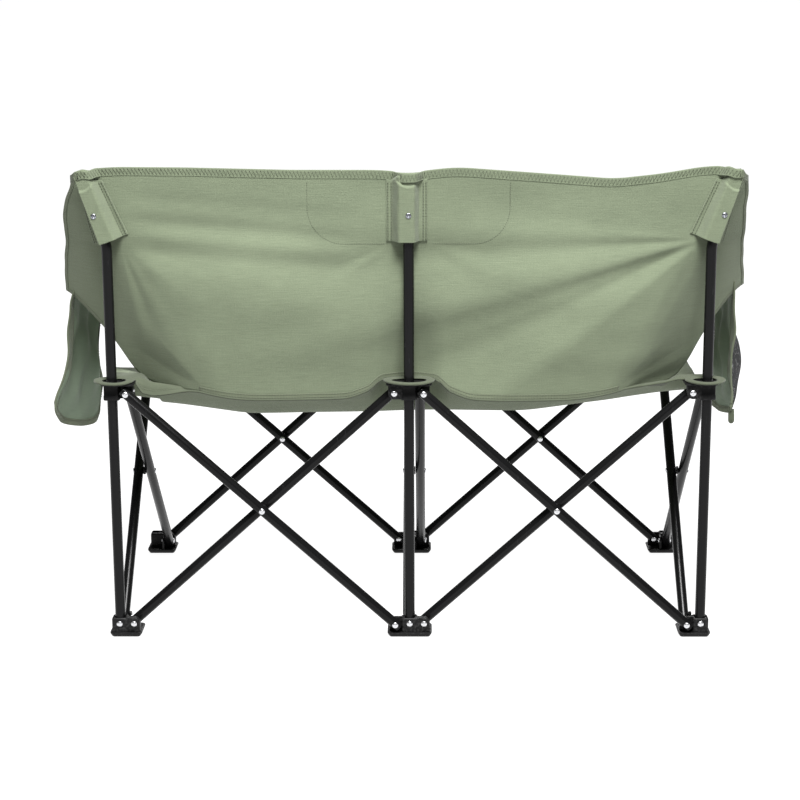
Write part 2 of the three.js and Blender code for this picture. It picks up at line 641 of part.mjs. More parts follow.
const patchOffset = CLOTH / 2 + PATCH_GAP + PATCH_CLOTH / 2;
const patchSurface = (u, v) => {
  const x = PATCH_HALF * (2 * u - 1);
  const intoCorner = Math.max(0, Math.abs(2 * u - 1) - 1 + PATCH_CORNER_SHARE) / PATCH_CORNER_SHARE;
  const low = BACK_TOP - PATCH_DROP + PATCH_CORNER * intoCorner ** 2;
  const z = THREE.MathUtils.lerp(low, BACK_TOP - PATCH_TOP, v);
  return at(x, backDepth(x, z, RIGHT) + patchOffset, z);
};
place('back_patch', sheet(10, 4, patchSurface, PATCH_CLOTH), sage());

// Sleeves that hold the back on the uprights, and the screws through them

const sleeveSeat = BACK_STANDOFF - CLOTH / 2 - CLEARANCE;
const sleeveBase = sleeveSeat - SLEEVE_WALL;
const sleeveCrown = -TUBE_RADIUS - SLEEVE_GAP - SLEEVE_WALL;
const sleeveSlope = (SLEEVE_BASE_HALF - SLEEVE_CROWN_HALF) / (sleeveBase - sleeveCrown);

// Half the outline: a flange against the back, a slanted side, and a flat over the tube.
function sleeveOutline(filled) {
  const inset = SLEEVE_WALL * Math.hypot(1, sleeveSlope);
  const innerHalf = (y) => SLEEVE_CROWN_HALF + sleeveSlope * (y - sleeveCrown) - inset;
  const ceiling = sleeveCrown + SLEEVE_WALL;
  const half = [
    [SLEEVE_CROWN_HALF, sleeveCrown],
    [SLEEVE_BASE_HALF, sleeveBase],
    [SLEEVE_BASE_HALF + SLEEVE_FLANGE, sleeveBase],
    [SLEEVE_BASE_HALF + SLEEVE_FLANGE, sleeveSeat],
  ];
  if (!filled) half.push([innerHalf(sleeveSeat), sleeveSeat], [innerHalf(ceiling), ceiling]);
  const mirrored = half.map(([x, y]) => [-x, y]).reverse();
  return new THREE.Shape([...half, ...mirrored].map(([x, y]) => new THREE.Vector2(x, y)));
}

POSTS.forEach((x, column) => {
  const lean = LEANS[column];
  const name = `rear_${NAMES[column]}`;
  const corner = at(x, 0, BEND_HEIGHT);
  const end = bentLength(lean) + CAP_HEIGHT + CLEARANCE;
  const tube = raised(sleeveOutline(false), SLEEVE_START, end);
  const lid = raised(sleeveOutline(true), end - CLEARANCE / 3, end + SLEEVE_LID);
  for (const piece of [tube, lid]) {
    piece.rotateY(lean);
    piece.translate(...corner);
  }
  const screw = screwPlace(x, lean);
  const face = along(screw, Y_AXIS, sleeveCrown - CLEARANCE);
  const outside = along(face, Y_AXIS, -RIVET_HEAD_HEIGHT);
  const hole = bar(screw, outside, holeRadius(SCREW_RADIUS, RIVET_SIDES), RIVET_SIDES);
  place(`${name}_sleeve`, toSolid(tube).add(toSolid(lid)).subtract(hole), sage());
  const inHead = along(face, Y_AXIS, -RIVET_HEAD_HEIGHT / 2);
  const head = bar(outside, face, RIVET_HEAD_RADIUS, TUBE_SIDES);
  const shank = bar(inHead, along(screw, Y_AXIS, -SCREW_END), SCREW_RADIUS, RIVET_SIDES);
  place(`${name}_screw`, head.add(shank), zinc());
});

// Seat cloth

// Half of the seat, from a row of hubs to the middle, where the cloth folds with the frame.
function seatHalf(name, row) {
  const hubs = row * BAY;
  const inward = row === 0 ? 1 : -1;
  const edge = hubs + inward * SEAT_REAR_EDGE;
  const crease = BAY / 2 - (inward * SEAT_CREASE_GAP) / 2;
  const panel = sheet(SEAT_COLUMNS, SEAT_ROWS, (u, v) => {
    const x = inward * (BAY + SEAT_OVERHANG) * (2 * u - 1);
    const y = THREE.MathUtils.lerp(edge, crease, v ** SEAT_CROWDING);
    return at(x, y, seatHeight(x, y));
  }, CLOTH);
  const disc = (x, radius, half) => bar(
    at(x, hubs, SEAT_LEVEL - half),
    at(x, hubs, SEAT_LEVEL + half),
    radius,
    LOOP_SIDES,
  );
  const loops = POSTS.map((x) => disc(x, LOOP_RADIUS, CLOTH / 2));
  const holes = POSTS.map((x) => disc(x, LOOP_HOLE, CLOTH / 2 + OVERCUT));
  place(name, without(joined([panel, ...loops]), holes), sage());
}

seatHalf('seat_rear_cloth', 0);
seatHalf('seat_front_cloth', 1);

// Arms, side flaps and mesh pockets

const ARM_LEVEL = POST_TOP + CAP_HEIGHT + CLEARANCE + ARM_CLOTH / 2;

// The outer edge of an arm, in plan, running in from the wing to the post.
function armOuter(side, y) {
  const share = (y - ARM_REAR) / (BAY - ARM_REAR);
  const rear = WING_START + side.wing - ARM_CLOTH;
  const front = BAY + ARM_WIDTH / 2;
  return THREE.MathUtils.lerp(rear, front, smooth(0.1, 1, share));
}

function armHeight(y) {
  const share = THREE.MathUtils.clamp((y - ARM_REAR) / (BAY - ARM_REAR), 0, 1);
  return ARM_LEVEL + ARM_REAR_RISE * (1 - share) ** 2 - ARM_SAG * Math.sin(Math.PI * share) ** 2;
}

function armSurface(side) {
  const run = ARM_FRONT - ARM_REAR;
  const hemStart = ARM_STEPS / (ARM_STEPS + HEM_STEPS);
  return (u, v) => {
    const turned = Math.max(0, u - hemStart) / (1 - hemStart);
    const roll = ARM_HEM_ROLL * Math.sin((turned * Math.PI) / 2);
    const y = ARM_REAR + run * Math.min(u / hemStart, 1) + roll;
    const x = armOuter(side, Math.min(y, BAY)) - ARM_WIDTH * v;
    return at(side.sign * x, y, armHeight(y) - ARM_HEM_DROP * turned);
  };
}

// A flap hangs from the arm's outer edge and swings outward toward its lower rear corner.
function flapSurface(side, offset) {
  return (u, v) => {
    const y = THREE.MathUtils.lerp(FLAP_REAR, FLAP_FRONT, u);
    const top = armHeight(y) - ARM_CLOTH / 2 - SEAM_GAP;
    const swing = side.flare * v ** 1.2 * (1 - 0.75 * u);
    const fold = FLAP_FOLD * Math.sin(FLAP_FOLD_TURN * u + FLAP_FOLD_START) * v;
    const x = armOuter(side, y) - FLAP_CLOTH + swing + fold + offset(u, v);
    return at(side.sign * x, y + FLAP_CORNER * v * (1 - u), top - FLAP_DROP * v);
  };
}

for (const [name, side] of [['left', LEFT], ['right', RIGHT]]) {
  place(`${name}_arm`, sheet(ARM_STEPS + HEM_STEPS, 3, armSurface(side), ARM_CLOTH), sage());
  place(`${name}_flap`, sheet(FLAP_STEPS, FLAP_STEPS, flapSurface(side, () => 0), FLAP_CLOTH), sage());
  const margin = MESH_INSET / (FLAP_FRONT - FLAP_REAR);
  const bottom = 1 - MESH_INSET / FLAP_DROP;
  const clear = FLAP_CLOTH / 2 + 2 * CLEARANCE + MESH_CLOTH / 2;
  const pouch = (u, v) => {
    const share = (v - MESH_TOP) / (bottom - MESH_TOP);
    const across = (u - margin) / (1 - 2 * margin);
    const round = Math.sin(Math.PI * THREE.MathUtils.clamp(across, 0, 1)) ** 0.6;
    const fill = Math.cos((Math.PI / 2) * THREE.MathUtils.clamp(share, 0, 1) ** 2.4);
    return clear + side.bulge * round * fill * (0.75 + 0.25 * share);
  };
  const hung = flapSurface(side, pouch);
  const pocket = (u, v) => hung(
    THREE.MathUtils.lerp(margin, 1 - margin, u),
    THREE.MathUtils.lerp(MESH_TOP, bottom, v),
  );
  place(`${name}_mesh_pocket`, sheet(MESH_STEPS, MESH_STEPS, pocket, MESH_CLOTH), mesh());
}

export default loveseat;
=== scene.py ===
import math

import bmesh
import bpy
import numpy as np
from mathutils import Matrix


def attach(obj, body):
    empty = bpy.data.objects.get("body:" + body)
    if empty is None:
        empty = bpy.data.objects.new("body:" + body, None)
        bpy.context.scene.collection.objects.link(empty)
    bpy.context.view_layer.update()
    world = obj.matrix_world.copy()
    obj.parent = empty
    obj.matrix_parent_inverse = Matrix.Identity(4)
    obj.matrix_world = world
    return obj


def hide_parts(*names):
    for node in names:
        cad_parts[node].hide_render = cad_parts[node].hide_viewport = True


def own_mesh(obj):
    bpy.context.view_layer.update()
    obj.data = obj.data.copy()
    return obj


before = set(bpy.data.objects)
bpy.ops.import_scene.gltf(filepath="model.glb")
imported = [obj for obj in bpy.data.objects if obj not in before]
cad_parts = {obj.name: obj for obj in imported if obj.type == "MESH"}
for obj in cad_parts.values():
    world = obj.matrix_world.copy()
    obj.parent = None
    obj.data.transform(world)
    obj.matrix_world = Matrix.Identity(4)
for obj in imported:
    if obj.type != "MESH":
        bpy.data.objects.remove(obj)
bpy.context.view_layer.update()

# Rear uprights.
# Three 19 mm steel tubes, powder coated black, stand in the rear feet. The outer two are
# bent outward near the top, where the cloth sleeves slip over them. A zinc rivet pins each foot.
BAY = 546
TUBE_RADIUS = 9.5
BEND_HEIGHT = 740
BEND_RADIUS = 60
LEAN = math.radians(19)
UPRIGHT_BOTTOM = 7.3
UPRIGHT_MIDDLE = 300
UPRIGHT_TOP = 862
FOOT_PIN = 25
RIVET_RADIUS = 5.4
RIVET_HEIGHT = 2.4
BLOCK_FACE = 13.2
PLACES = {"left": -BAY, "centre": 0, "right": BAY}
LEANS = {"left": -LEAN, "centre": 0.0, "right": LEAN}


class Flow:
    """A value on its way through a material's nodes. Sums and products add Math nodes."""

    def __init__(self, finish, socket):
        self.finish, self.socket = finish, socket

    def math(self, operation, *values):
        return self.finish.node("ShaderNodeMath", {"operation": operation}, dict(enumerate(values)))

    def __add__(self, other):
        return self.math("ADD", self, other)

    def __sub__(self, other):
        return self.math("SUBTRACT", self, other)

    def __rsub__(self, other):
        return self.math("SUBTRACT", other, self)

    def __mul__(self, other):
        return self.math("MULTIPLY", self, other)

    __radd__ = __add__
    __rmul__ = __mul__

    def sine(self):
        return self.math("SINE", self)

    def rise(self, low, high):
        """0 below low and 1 above high, eased between."""
        settings = {"interpolation_type": "SMOOTHSTEP"}
        sockets = {"Value": self, "From Min": low, "From Max": high}
        return self.finish.node("ShaderNodeMapRange", settings, sockets)


class Finish:
    """A material under way: node() adds any node, and shade() fills the Principled shader. Its
    place is the object's own coordinates, unless another node is named for it."""

    def __init__(self, name, place=("ShaderNodeTexCoord", {}, {}, "Object")):
        self.material = bpy.data.materials.new(name)
        self.material.use_nodes = True
        self.tree = self.material.node_tree
        self.shader = self.tree.nodes["Principled BSDF"]
        self.place = self.node(*place)

    def node(self, kind, settings, sockets, output=0):
        made = self.tree.nodes.new(kind)
        for key, value in settings.items():
            setattr(made, key, value)
        for key, value in sockets.items():
            self.fill(made.inputs[key], value)
        return Flow(self, made.outputs[output])

    def fill(self, socket, value):
        if isinstance(value, Flow):
            self.tree.links.new(value.socket, socket)
        else:
            socket.default_value = value

    def shade(self, **values):
        named = {socket.name.lower(): socket for socket in self.shader.inputs}
        for key, value in values.items():
            self.fill(named[key.replace("_", " ")], value)
        return self.material

    def mix(self, share, first, second):
        """Two colours mixed. A Mix node's colour sockets share their names, so they go by number."""
        sockets = {0: share, 6: first, 7: second}
        return self.node("ShaderNodeMix", {"data_type": "RGBA"}, sockets, 2)

    def noise(self, scale, detail, stretch=None):
        place = self.place
        if stretch:
            place = self.node("ShaderNodeMapping", {}, {"Vector": place, "Scale": stretch})
        sockets = {"Vector": place, "Scale": scale, "Detail": detail}
        return self.node("ShaderNodeTexNoise", {}, sockets)

    def bump(self, height, depth, strength):
        sockets = {"Height": height, "Distance": depth, "Strength": strength}
        return self.node("ShaderNodeBump", {}, sockets)


def powder_coat():
    """Black powder coat: an even orange peel, cloudy gloss, and a few dull rubbed streaks."""
    coat = Finish("powder_coat")
    peel = coat.noise(900, 2)
    cloud = coat.noise(14, 3)
    rubbed = coat.noise(1, 4, (160, 160, 24)).rise(0.62, 0.78)
    return coat.shade(
        base_color=coat.mix(rubbed * 0.5, (0.004, 0.004, 0.0042, 1), (0.016, 0.016, 0.017, 1)),
        roughness=0.20 + 0.08 * cloud + 0.14 * rubbed,
        specular_ior_level=0.15,
        normal=coat.bump(peel, 0.00008, 0.15),
    )


def placed(name, data):
    """A new object in the scene, at the origin."""
    thing = bpy.data.objects.new(name, data)
    bpy.context.scene.collection.objects.link(thing)
    return thing


def add_mesh(name, body, finishes, points, faces, slots, sharp):
    """An object of points in millimetres and faces, riding on a CAD body. Points that meet are
    merged, and edges that turn by more than the sharp angle stay sharp."""
    mesh = bpy.data.meshes.new(name)
    mesh.from_pydata(points / 1000, [], faces)
    mesh.polygons.foreach_set("material_index", slots)
    for finish in finishes:
        mesh.materials.append(finish)
    build = bmesh.new()
    build.from_mesh(mesh)
    bmesh.ops.remove_doubles(build, verts=build.verts, dist=2e-6)
    build.to_mesh(mesh)
    build.free()
    mesh.shade_smooth()
    mesh.set_sharp_from_angle(angle=math.radians(sharp))
    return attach(placed(name, mesh), body)


def add_piece(name, body, finishes, surfaces, sharp=50, ring=True):
    """One object of several grids of points, each given with the number of its finish. The rows
    of the grids close into rings, or stay open."""
    points, faces, slots, start = [], [], [], 0
    for grid, finish in surfaces:
        rows, columns = grid.shape[:2]
        number = start + np.arange(rows * columns).reshape(rows, columns)
        if ring:
            number = np.concatenate([number, number[:, :1]], axis=1)
        corners = [number[:-1, :-1], number[:-1, 1:], number[1:, 1:], number[1:, :-1]]
        quads = np.stack(corners, axis=-1).reshape(-1, 4)
        points.append(grid.reshape(-1, 3))
        faces.append(quads)
        slots.append(np.full(len(quads), finish, np.int32))
        start += rows * columns
    joined = [np.concatenate(part) for part in (points, faces, slots)]
    return add_mesh(name, body, finishes, *joined, sharp)


def add_part(name, body, finishes, surfaces, node, sharp=50):
    """A hard piece that is shown in place of one CAD solid."""
    piece = add_piece(name, body, finishes, surfaces, sharp)
    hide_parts(node)


def unit(vectors):
    return vectors / np.linalg.norm(vectors, axis=-1, keepdims=True)


def circles(centres, across, over, radius, sides):
    """A ring of points about each centre, in the plane of the directions across and over."""
    turn = np.linspace(0, 2 * np.pi, sides, endpoint=False)[:, None]
    size = np.broadcast_to(radius, len(centres))[:, None, None]
    around = np.cos(turn) * across[..., None, :] + np.sin(turn) * over[..., None, :]
    return centres[:, None] + size * around


def capped(rings):
    """Rings of points, closed at both ends by a pole in the middle of the ring there."""
    poles = rings.mean(axis=1, keepdims=True).repeat(rings.shape[1], axis=1)
    return np.concatenate([poles[:1], rings, poles[-1:]])


def swept(path, radius, sides=28):
    """A round profile carried along a path: at each point a circle across the path's direction
    there, of one radius or of one for each point."""
    path = np.asarray(path, float)
    ahead = unit(np.gradient(path, axis=0))
    flat = np.eye(3)[np.argmin(np.ptp(path, axis=0))]
    across = unit(np.cross(flat, ahead))
    return capped(circles(path, across, np.cross(ahead, across), radius, sides))


def rounded_ends(start, end, radius, rounding=1.6):
    """Points along a straight bar, with the radius drawn in at both ends by a quarter circle."""
    start, end = np.asarray(start, float), np.asarray(end, float)
    length = np.linalg.norm(end - start)
    quarter = np.linspace(0, np.pi / 2, 5)
    inset = rounding * (1 - np.sin(quarter))
    drop = rounding * (1 - np.cos(quarter))
    along = np.concatenate([drop, [length / 2], length - drop[::-1]])
    size = np.concatenate([radius - inset, [radius], radius - inset[::-1]])
    return start + along[:, None] * (end - start) / length, size


def upright_line(x, lean):
    """A straight rise, a round bend and a straight leaning end, as points of one line."""
    slope = np.array([math.sin(lean), 0, math.cos(lean)])
    trim = BEND_RADIUS * math.tan(abs(lean) / 2)
    corner = np.array([x, 0, BEND_HEIGHT])
    top = corner + slope * (UPRIGHT_TOP - BEND_HEIGHT) / math.cos(lean)
    start, end = corner - (0, 0, trim), corner + slope * trim
    share = np.linspace(0, 1, 14)[:, None]
    bend = (1 - share) ** 2 * start + 2 * share * (1 - share) * corner + share**2 * end
    foot = np.array([[x, 0, UPRIGHT_BOTTOM], [x, 0, UPRIGHT_MIDDLE]])
    return np.concatenate([foot, bend, top[None]] if lean else [foot, top[None]])


def zinc_plate(name, dull, bright):
    """Zinc plate: a clear silver with faint brushed rings and dull patches."""
    zinc = Finish(name)
    patch = zinc.noise(260, 3)
    grain = zinc.noise(2400, 2)
    return zinc.shade(
        base_color=zinc.mix(patch, dull, bright),
        metallic=1.0,
        roughness=0.20 + 0.18 * patch,
        normal=zinc.bump(grain, 0.00005, 0.4),
    )


def rivet_head(centre, outward):
    """A turned head: a low dome with a dimple in its middle, from the rim to the pole."""
    share = np.array([0, 0, 0.25, 0.5, 0.75, 0.92, 1.0])
    height = np.array([0, 0.35, 0.72, 0.95, 1.0, 0.9, 0.78]) * RIVET_HEIGHT
    size = RIVET_RADIUS * (1 - share * 0.999)
    outward = np.asarray(outward, float)
    path = np.asarray(centre, float) + height[:, None] * outward
    across = np.cross(np.eye(3)[np.argmin(np.abs(outward))], outward)
    return circles(path, across, np.cross(outward, across), size, 20)


black_tube = powder_coat()
zinc = zinc_plate("zinc_plate", (0.62, 0.63, 0.65, 1), (0.82, 0.82, 0.84, 1))
for side, x in PLACES.items():
    surfaces = [
        (swept(upright_line(x, LEANS[side]), TUBE_RADIUS), 0),
        (rivet_head((x, -BLOCK_FACE, FOOT_PIN), (0, -1, 0)), 1),
    ]
    add_part(f"{side}_back_post", f"rear_{side}_post", [black_tube, zinc], surfaces,
             f"rear_{side}_upright")

# Feet.
# Six black nylon mouldings: a flat sole with a rounded edge, a block that holds an upright,
# and an upstanding ear for each scissor tube that is riveted to it.
ROWS = {"rear": 0, "front": BAY}
PIVOT = 27
HUB_PIN = 469
EAR_RADIUS = 11
EAR_ROOT = PIVOT - 12
SIDE_EAR_ROOT = 6
WEB = 4
PLATE_OUTER = 19
PLATE_INNER = 42
PLATE_CORNER = 9
BLOCK_HALF = 15
BLOCK_CORNER = 5
MOULDED_SHARP = 38
SIDE_PLANES = {"left": 15, "centre": 8, "right": -15}


def moulded_nylon():
    """Black glass-filled nylon: a fine spark-eroded grain, with paler rubbed corners."""
    nylon = Finish("moulded_nylon")
    grain = nylon.noise(1500, 3)
    cloud = nylon.noise(30, 2)
    edge = nylon.node("ShaderNodeNewGeometry", {}, {}, "Pointiness").rise(0.52, 0.60)
    rubbed = edge * nylon.noise(220, 3).rise(0.45, 0.65)
    return nylon.shade(
        base_color=nylon.mix(rubbed, (0.005, 0.005, 0.0052, 1), (0.026, 0.026, 0.026, 1)),
        roughness=0.40 + 0.16 * cloud,
        specular_ior_level=0.16,
        normal=nylon.bump(grain, 0.0001, 0.4),
    )


def xyz(x, y, z):
    """Three grids of coordinates as one grid of points."""
    return np.stack([x, y, z], axis=-1)


def rounded_rectangle(x0, y0, x1, y1, radius, steps=6):
    """Points anticlockwise round a rectangle whose corners are quarter circles."""
    x0, y0, x1, y1 = x0 + radius, y0 + radius, x1 - radius, y1 - radius
    middle = np.array([(x1, y1), (x0, y1), (x0, y0), (x1, y0)])
    angle = np.linspace(0, np.pi / 2, steps) + np.arange(4)[:, None] * np.pi / 2
    arcs = middle[:, None] + radius * np.stack([np.cos(angle), np.sin(angle)], axis=-1)
    return arcs.reshape(-1, 2)


def slab(box, corner, levels):
    """A rounded rectangle drawn in by an inset at each level, closed at its lowest and highest.
    A level is (inset, height)."""
    x0, y0, x1, y1 = box
    rings = []
    for inset, height in levels:
        inner = x0 + inset, y0 + inset, x1 - inset, y1 - inset
        flat = rounded_rectangle(*inner, max(corner - inset, 0.6))
        rings.append(xyz(*flat.T, np.full(len(flat), height)))
    return capped(np.stack(rings))


def ear(base, root, behind=-WEB / 2, ahead=WEB / 2):
    """A wall with a round end about its pin, drawn in the plane of y = 0 with the pin at the
    origin: a quarter circle carried on to the plate at height base, and back to a root at -x.
    Behind and ahead are the places of its two faces, whose rims are drawn in a little."""
    up = -math.copysign(1, base)
    turn = np.linspace(0, np.pi / 2, 9)
    crown = EAR_RADIUS * np.stack([np.cos(turn), up * np.sin(turn)], axis=1)
    foot = [[-root, up * EAR_RADIUS], [-root, base]]
    outline = np.concatenate([[[EAR_RADIUS, base]], crown, foot])
    if up < 0:
        outline = outline[::-1]
    middle = outline.mean(axis=0)
    rows = []
    for share, y in ((0.94, ahead), (1, ahead - 0.7), (1, behind + 0.7), (0.94, behind)):
        ring = middle + (outline - middle) * share
        rows.append(xyz(ring[:, 0], np.full(len(ring), y), ring[:, 1]))
    return capped(np.stack(rows))


def turned_about_z(grid, quarter):
    """The same points a number of quarter turns about the upright."""
    angle = quarter * math.pi / 2
    sine, cosine = math.sin(angle), math.cos(angle)
    return grid @ np.array([[cosine, -sine, 0], [sine, cosine, 0], [0, 0, 1]]).T


def bracket_surfaces(side, row, plate_levels, block_levels, pin, plate):
    """A plate, a block about the upright, and one ear for each tube, all about the upright. An
    ear with its tube in front of it is as thick as the block, so its face carries on the block's."""
    left = PLATE_OUTER if side == "left" else PLATE_INNER
    right = PLATE_OUTER if side == "right" else PLATE_INNER
    back, front = (PLATE_OUTER, PLATE_INNER) if row == "rear" else (PLATE_INNER, PLATE_OUTER)
    surfaces = [
        slab((-left, -back, right, front), PLATE_CORNER, plate_levels),
        slab((-BLOCK_HALF, -BLOCK_FACE, BLOCK_HALF, BLOCK_FACE), BLOCK_CORNER, block_levels),
    ]
    out, lift = np.array([PIVOT, 0, 0]), np.array([0, 0, pin])
    thick_right = pin == FOOT_PIN
    if side != "right":
        wall = ear(plate - pin, EAR_ROOT, -BLOCK_FACE if thick_right else -WEB / 2)
        surfaces.append(wall + out + lift)
    if side != "left":
        wall = ear(plate - pin, EAR_ROOT, -WEB / 2, WEB / 2 if thick_right else BLOCK_FACE)
        surfaces.append(turned_about_z(wall + out, 2) + lift)
    forward = 1 if row == "rear" else -1
    wall = turned_about_z(ear(plate - pin, SIDE_EAR_ROOT) + out, forward)
    surfaces.append(wall + (SIDE_PLANES[side], 0, 0) + lift)
    return [(grid + (PLACES[side], ROWS[row], 0), 0) for grid in surfaces]


nylon = moulded_nylon()
SOLE = [
    (8.0, 0.0), (5.5, 0.0), (4.6, 0.5), (3.6, 1.8), (1.0, 5.6), (0.3, 7.4), (0.5, 8.4), (1.4, 9.0), (6.0, 9.0),
]
SOLE_MIDDLE = 5
FOOT_BLOCK = [(0.0, 6.0), (0.0, 32.5), (0.5, 34.6), (1.8, 35.8), (3.4, 36.0), (3.7, 33.0)]
for row in ROWS:
    for side in PLACES:
        body = f"rear_{side}_post" if row == "rear" else f"front_{side}_foot"
        surfaces = bracket_surfaces(side, row, SOLE, FOOT_BLOCK, FOOT_PIN, SOLE_MIDDLE)
        add_part(f"{row}_{side}_shoe", body, [nylon], surfaces,
                 f"{row}_{side}_foot", MOULDED_SHARP)

# Hubs.
# Six black nylon mouldings that carry the seat corners on a flat plate. The rear three slide
# on the uprights, the front outer two hold the arm posts, and the middle one ends in a peg.
HUB_PLATE = [
    (6.0, 484.0), (1.0, 484.0), (0.1, 484.6), (0.0, 486.0), (0.3, 487.4), (1.2, 488.0), (6.0, 488.0),
]
HUB_BLOCK = [
    (3.0, 456.0), (1.2, 456.0), (0.2, 456.8), (0.0, 459.0), (0.0, 464.0), (0.7, 465.0), (0.7, 486.0),
]
PLATE_MIDDLE = 486
PEG_TOP = 512
for row in ROWS:
    for side in PLACES:
        surfaces = bracket_surfaces(side, row, HUB_PLATE, HUB_BLOCK, HUB_PIN, PLATE_MIDDLE)
        if (row, side) == ("front", "centre"):
            peg = rounded_ends((0, BAY, PLATE_MIDDLE), (0, BAY, PEG_TOP), TUBE_RADIUS)
            surfaces.append((swept(*peg), 0))
        add_part(f"{row}_{side}_slider", f"{row}_{side}_hub", [nylon], surfaces,
                 f"{row}_{side}_hub", MOULDED_SHARP)

# Scissor tubes.
# Fourteen straight 19 mm tubes, crossed in pairs and pinned at their ends to the feet and hubs
# by zinc plated rivets with low domed heads.
PLANE_GAP = 11.8
TUBE_END = 10.5
HEAD_SUNK = 0.4


def pinned_tube(name, body, lower, upper, toward_web, ear_face):
    """A tube past its two pins, with a head on its outer side and one on the far face of the ear
    at each pin."""
    lower, upper, web = (np.array(v, float) for v in (lower, upper, toward_web))
    past = unit(upper - lower) * TUBE_END
    surfaces = [(swept(*rounded_ends(lower - past, upper + past, TUBE_RADIUS)), 0)]
    for pin in (lower, upper):
        surfaces.append((rivet_head(pin - web * (TUBE_RADIUS - HEAD_SUNK), -web), 1))
        surfaces.append((rivet_head(pin + web * (PLANE_GAP + ear_face), web), 1))
    add_part(name, body, [black_tube, zinc], surfaces, body)


NEAR, FAR = PIVOT, BAY - PIVOT
for row, depth in ROWS.items():
    for bay, left in (("left", -BAY), ("right", 0)):
        low, high = left + NEAR, left + FAR
        for tube, foot, hub, web in (("a", high, low, 1), ("b", low, high, -1)):
            y = depth - web * PLANE_GAP
            ends = (foot, y, FOOT_PIN), (hub, y, HUB_PIN)
            face = WEB / 2 if tube == "a" else BLOCK_FACE
            name, body = f"{row}_{bay}_strut_{tube}", f"{row}_{bay}_tube_{tube}"
            pinned_tube(name, body, *ends, (0, web, 0), face)
for side, x in PLACES.items():
    for tube, foot, hub, web in (("a", NEAR, FAR, 1), ("b", FAR, NEAR, -1)):
        plane = x + SIDE_PLANES[side] - web * PLANE_GAP
        ends = (plane, foot, FOOT_PIN), (plane, hub, HUB_PIN)
        name, body = f"side_{side}_strut_{tube}", f"side_{side}_tube_{tube}"
        pinned_tube(name, body, *ends, (web, 0, 0), WEB / 2)

# Crossing rivets.
# One zinc rivet holds each pair of tubes together where they cross, with a black nylon washer
# between the two tubes.
CROSSING_HEIGHT = (FOOT_PIN + HUB_PIN) / 2
CROSSING_REACH = PLANE_GAP + TUBE_RADIUS - 0.2
WASHER_RADIUS = 8.0
CROSSINGS = {
    f"{row}_{bay}": ((x, y, CROSSING_HEIGHT), (0, 1, 0))
    for row, y in ROWS.items()
    for bay, x in (("left", -BAY / 2), ("right", BAY / 2))
}
CROSSINGS |= {
    f"side_{side}": ((x + SIDE_PLANES[side], BAY / 2, CROSSING_HEIGHT), (1, 0, 0))
    for side, x in PLACES.items()
}
for pair, (centre, axis) in CROSSINGS.items():
    centre, axis = np.array(centre, float), np.array(axis, float)
    half = axis * WEB / 2
    surfaces = [(rivet_head(centre + way * CROSSING_REACH, way), 0) for way in (-axis, axis)]
    washer = rounded_ends(centre - half, centre + half, WASHER_RADIUS, 0.8)
    surfaces.append((swept(*washer, 20), 1))
    lead = "b" if pair in ("rear_right", "front_right") else "a"
    add_part(f"{pair}_cross_pin", f"{pair}_tube_{lead}", [zinc, nylon], surfaces,
             f"{pair}_rivet")

# Arm posts and tube caps.
# A short tube stands in each front outer hub and carries the front of an arm. Black nylon plugs
# with a thin rim close every open tube end.
POST_BOTTOM = 457
POST_TOP = 640
CAPS = ["rear_left_cap", "rear_centre_cap", "rear_right_cap"]
CAPS += ["left_arm_post_cap", "right_arm_post_cap", "front_centre_cap"]
for side in ("left", "right"):
    ends = (PLACES[side], BAY, POST_BOTTOM), (PLACES[side], BAY, POST_TOP)
    surfaces = [(swept(*rounded_ends(*ends, TUBE_RADIUS, 0.6)), 0)]
    add_part(f"{side}_front_post", f"front_{side}_hub", [black_tube], surfaces,
             f"{side}_arm_post")
for name in CAPS:
    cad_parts[name].data.materials.clear()
    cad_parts[name].data.materials.append(nylon)

# Back cloth.
# One panel of sage woven polyester is stretched over the three uprights, bowed to the rear
# between them below. Its wings turn forward past the outer uprights to meet the arms.
BACK_TOP = 872
STANDOFF = 11.6
BELLY = 30
SEAM_HALF = 388
SEAM_DEPTH = 15.0
SEAM_WIDTH = 11
HEM_WIDTH = 15
TAPE_THICKNESS = 0.9
THREAD_PITCH = 0.0011
ALL_SMOOTH = 180
WING_START = BAY + 3
WING_WIDTH = {"left": 85, "right": 66}
WING_TAPER = {"left": 105, "right": 50}
WING_FORWARD = 76
TUCK = {"left": (0.62, 48), "right": (0.76, 22)}
SEAT_LEVEL = 489.8
SEAT_DEPTH = {
    "left": [(0, 88), (150, 92), (310, 93), (378, 84), (446, 74), (560, 62)],
    "right": [(0, 88), (220, 88), (280, 81), (378, 67), (415, 60), (471, 52), (560, 46)],
}
REAR_SAG = 33
FRONT_SAG = 14
CLOTH = 1.6
TOP_LINE = [
    (-606, 866), (-555, 875), (-490, 881), (-374, 880), (-195, 875), (-46, 874.5), (-14, 871), (0, 868),
    (14, 871), (46, 876), (84, 879), (220, 868), (344, 858), (420, 867), (490, 880), (531, 880), (560, 874),
    (585, 867), (606, 862),
]
LOWER_EDGE = {
    "left": [(SEAM_HALF, 0), (460, 2), (506, 15), (WING_START, 84), (585, 129), (634, 170)],
    "right": [(SEAM_HALF, 0), (460, 0), (506, 11), (WING_START, 98), (585, 153), (615, 177)],
}
UPRIGHT_TIP = BAY + (UPRIGHT_TOP - BEND_HEIGHT) * math.tan(LEAN)
REARWARD = np.array([0.0, -1.0, 0.0])

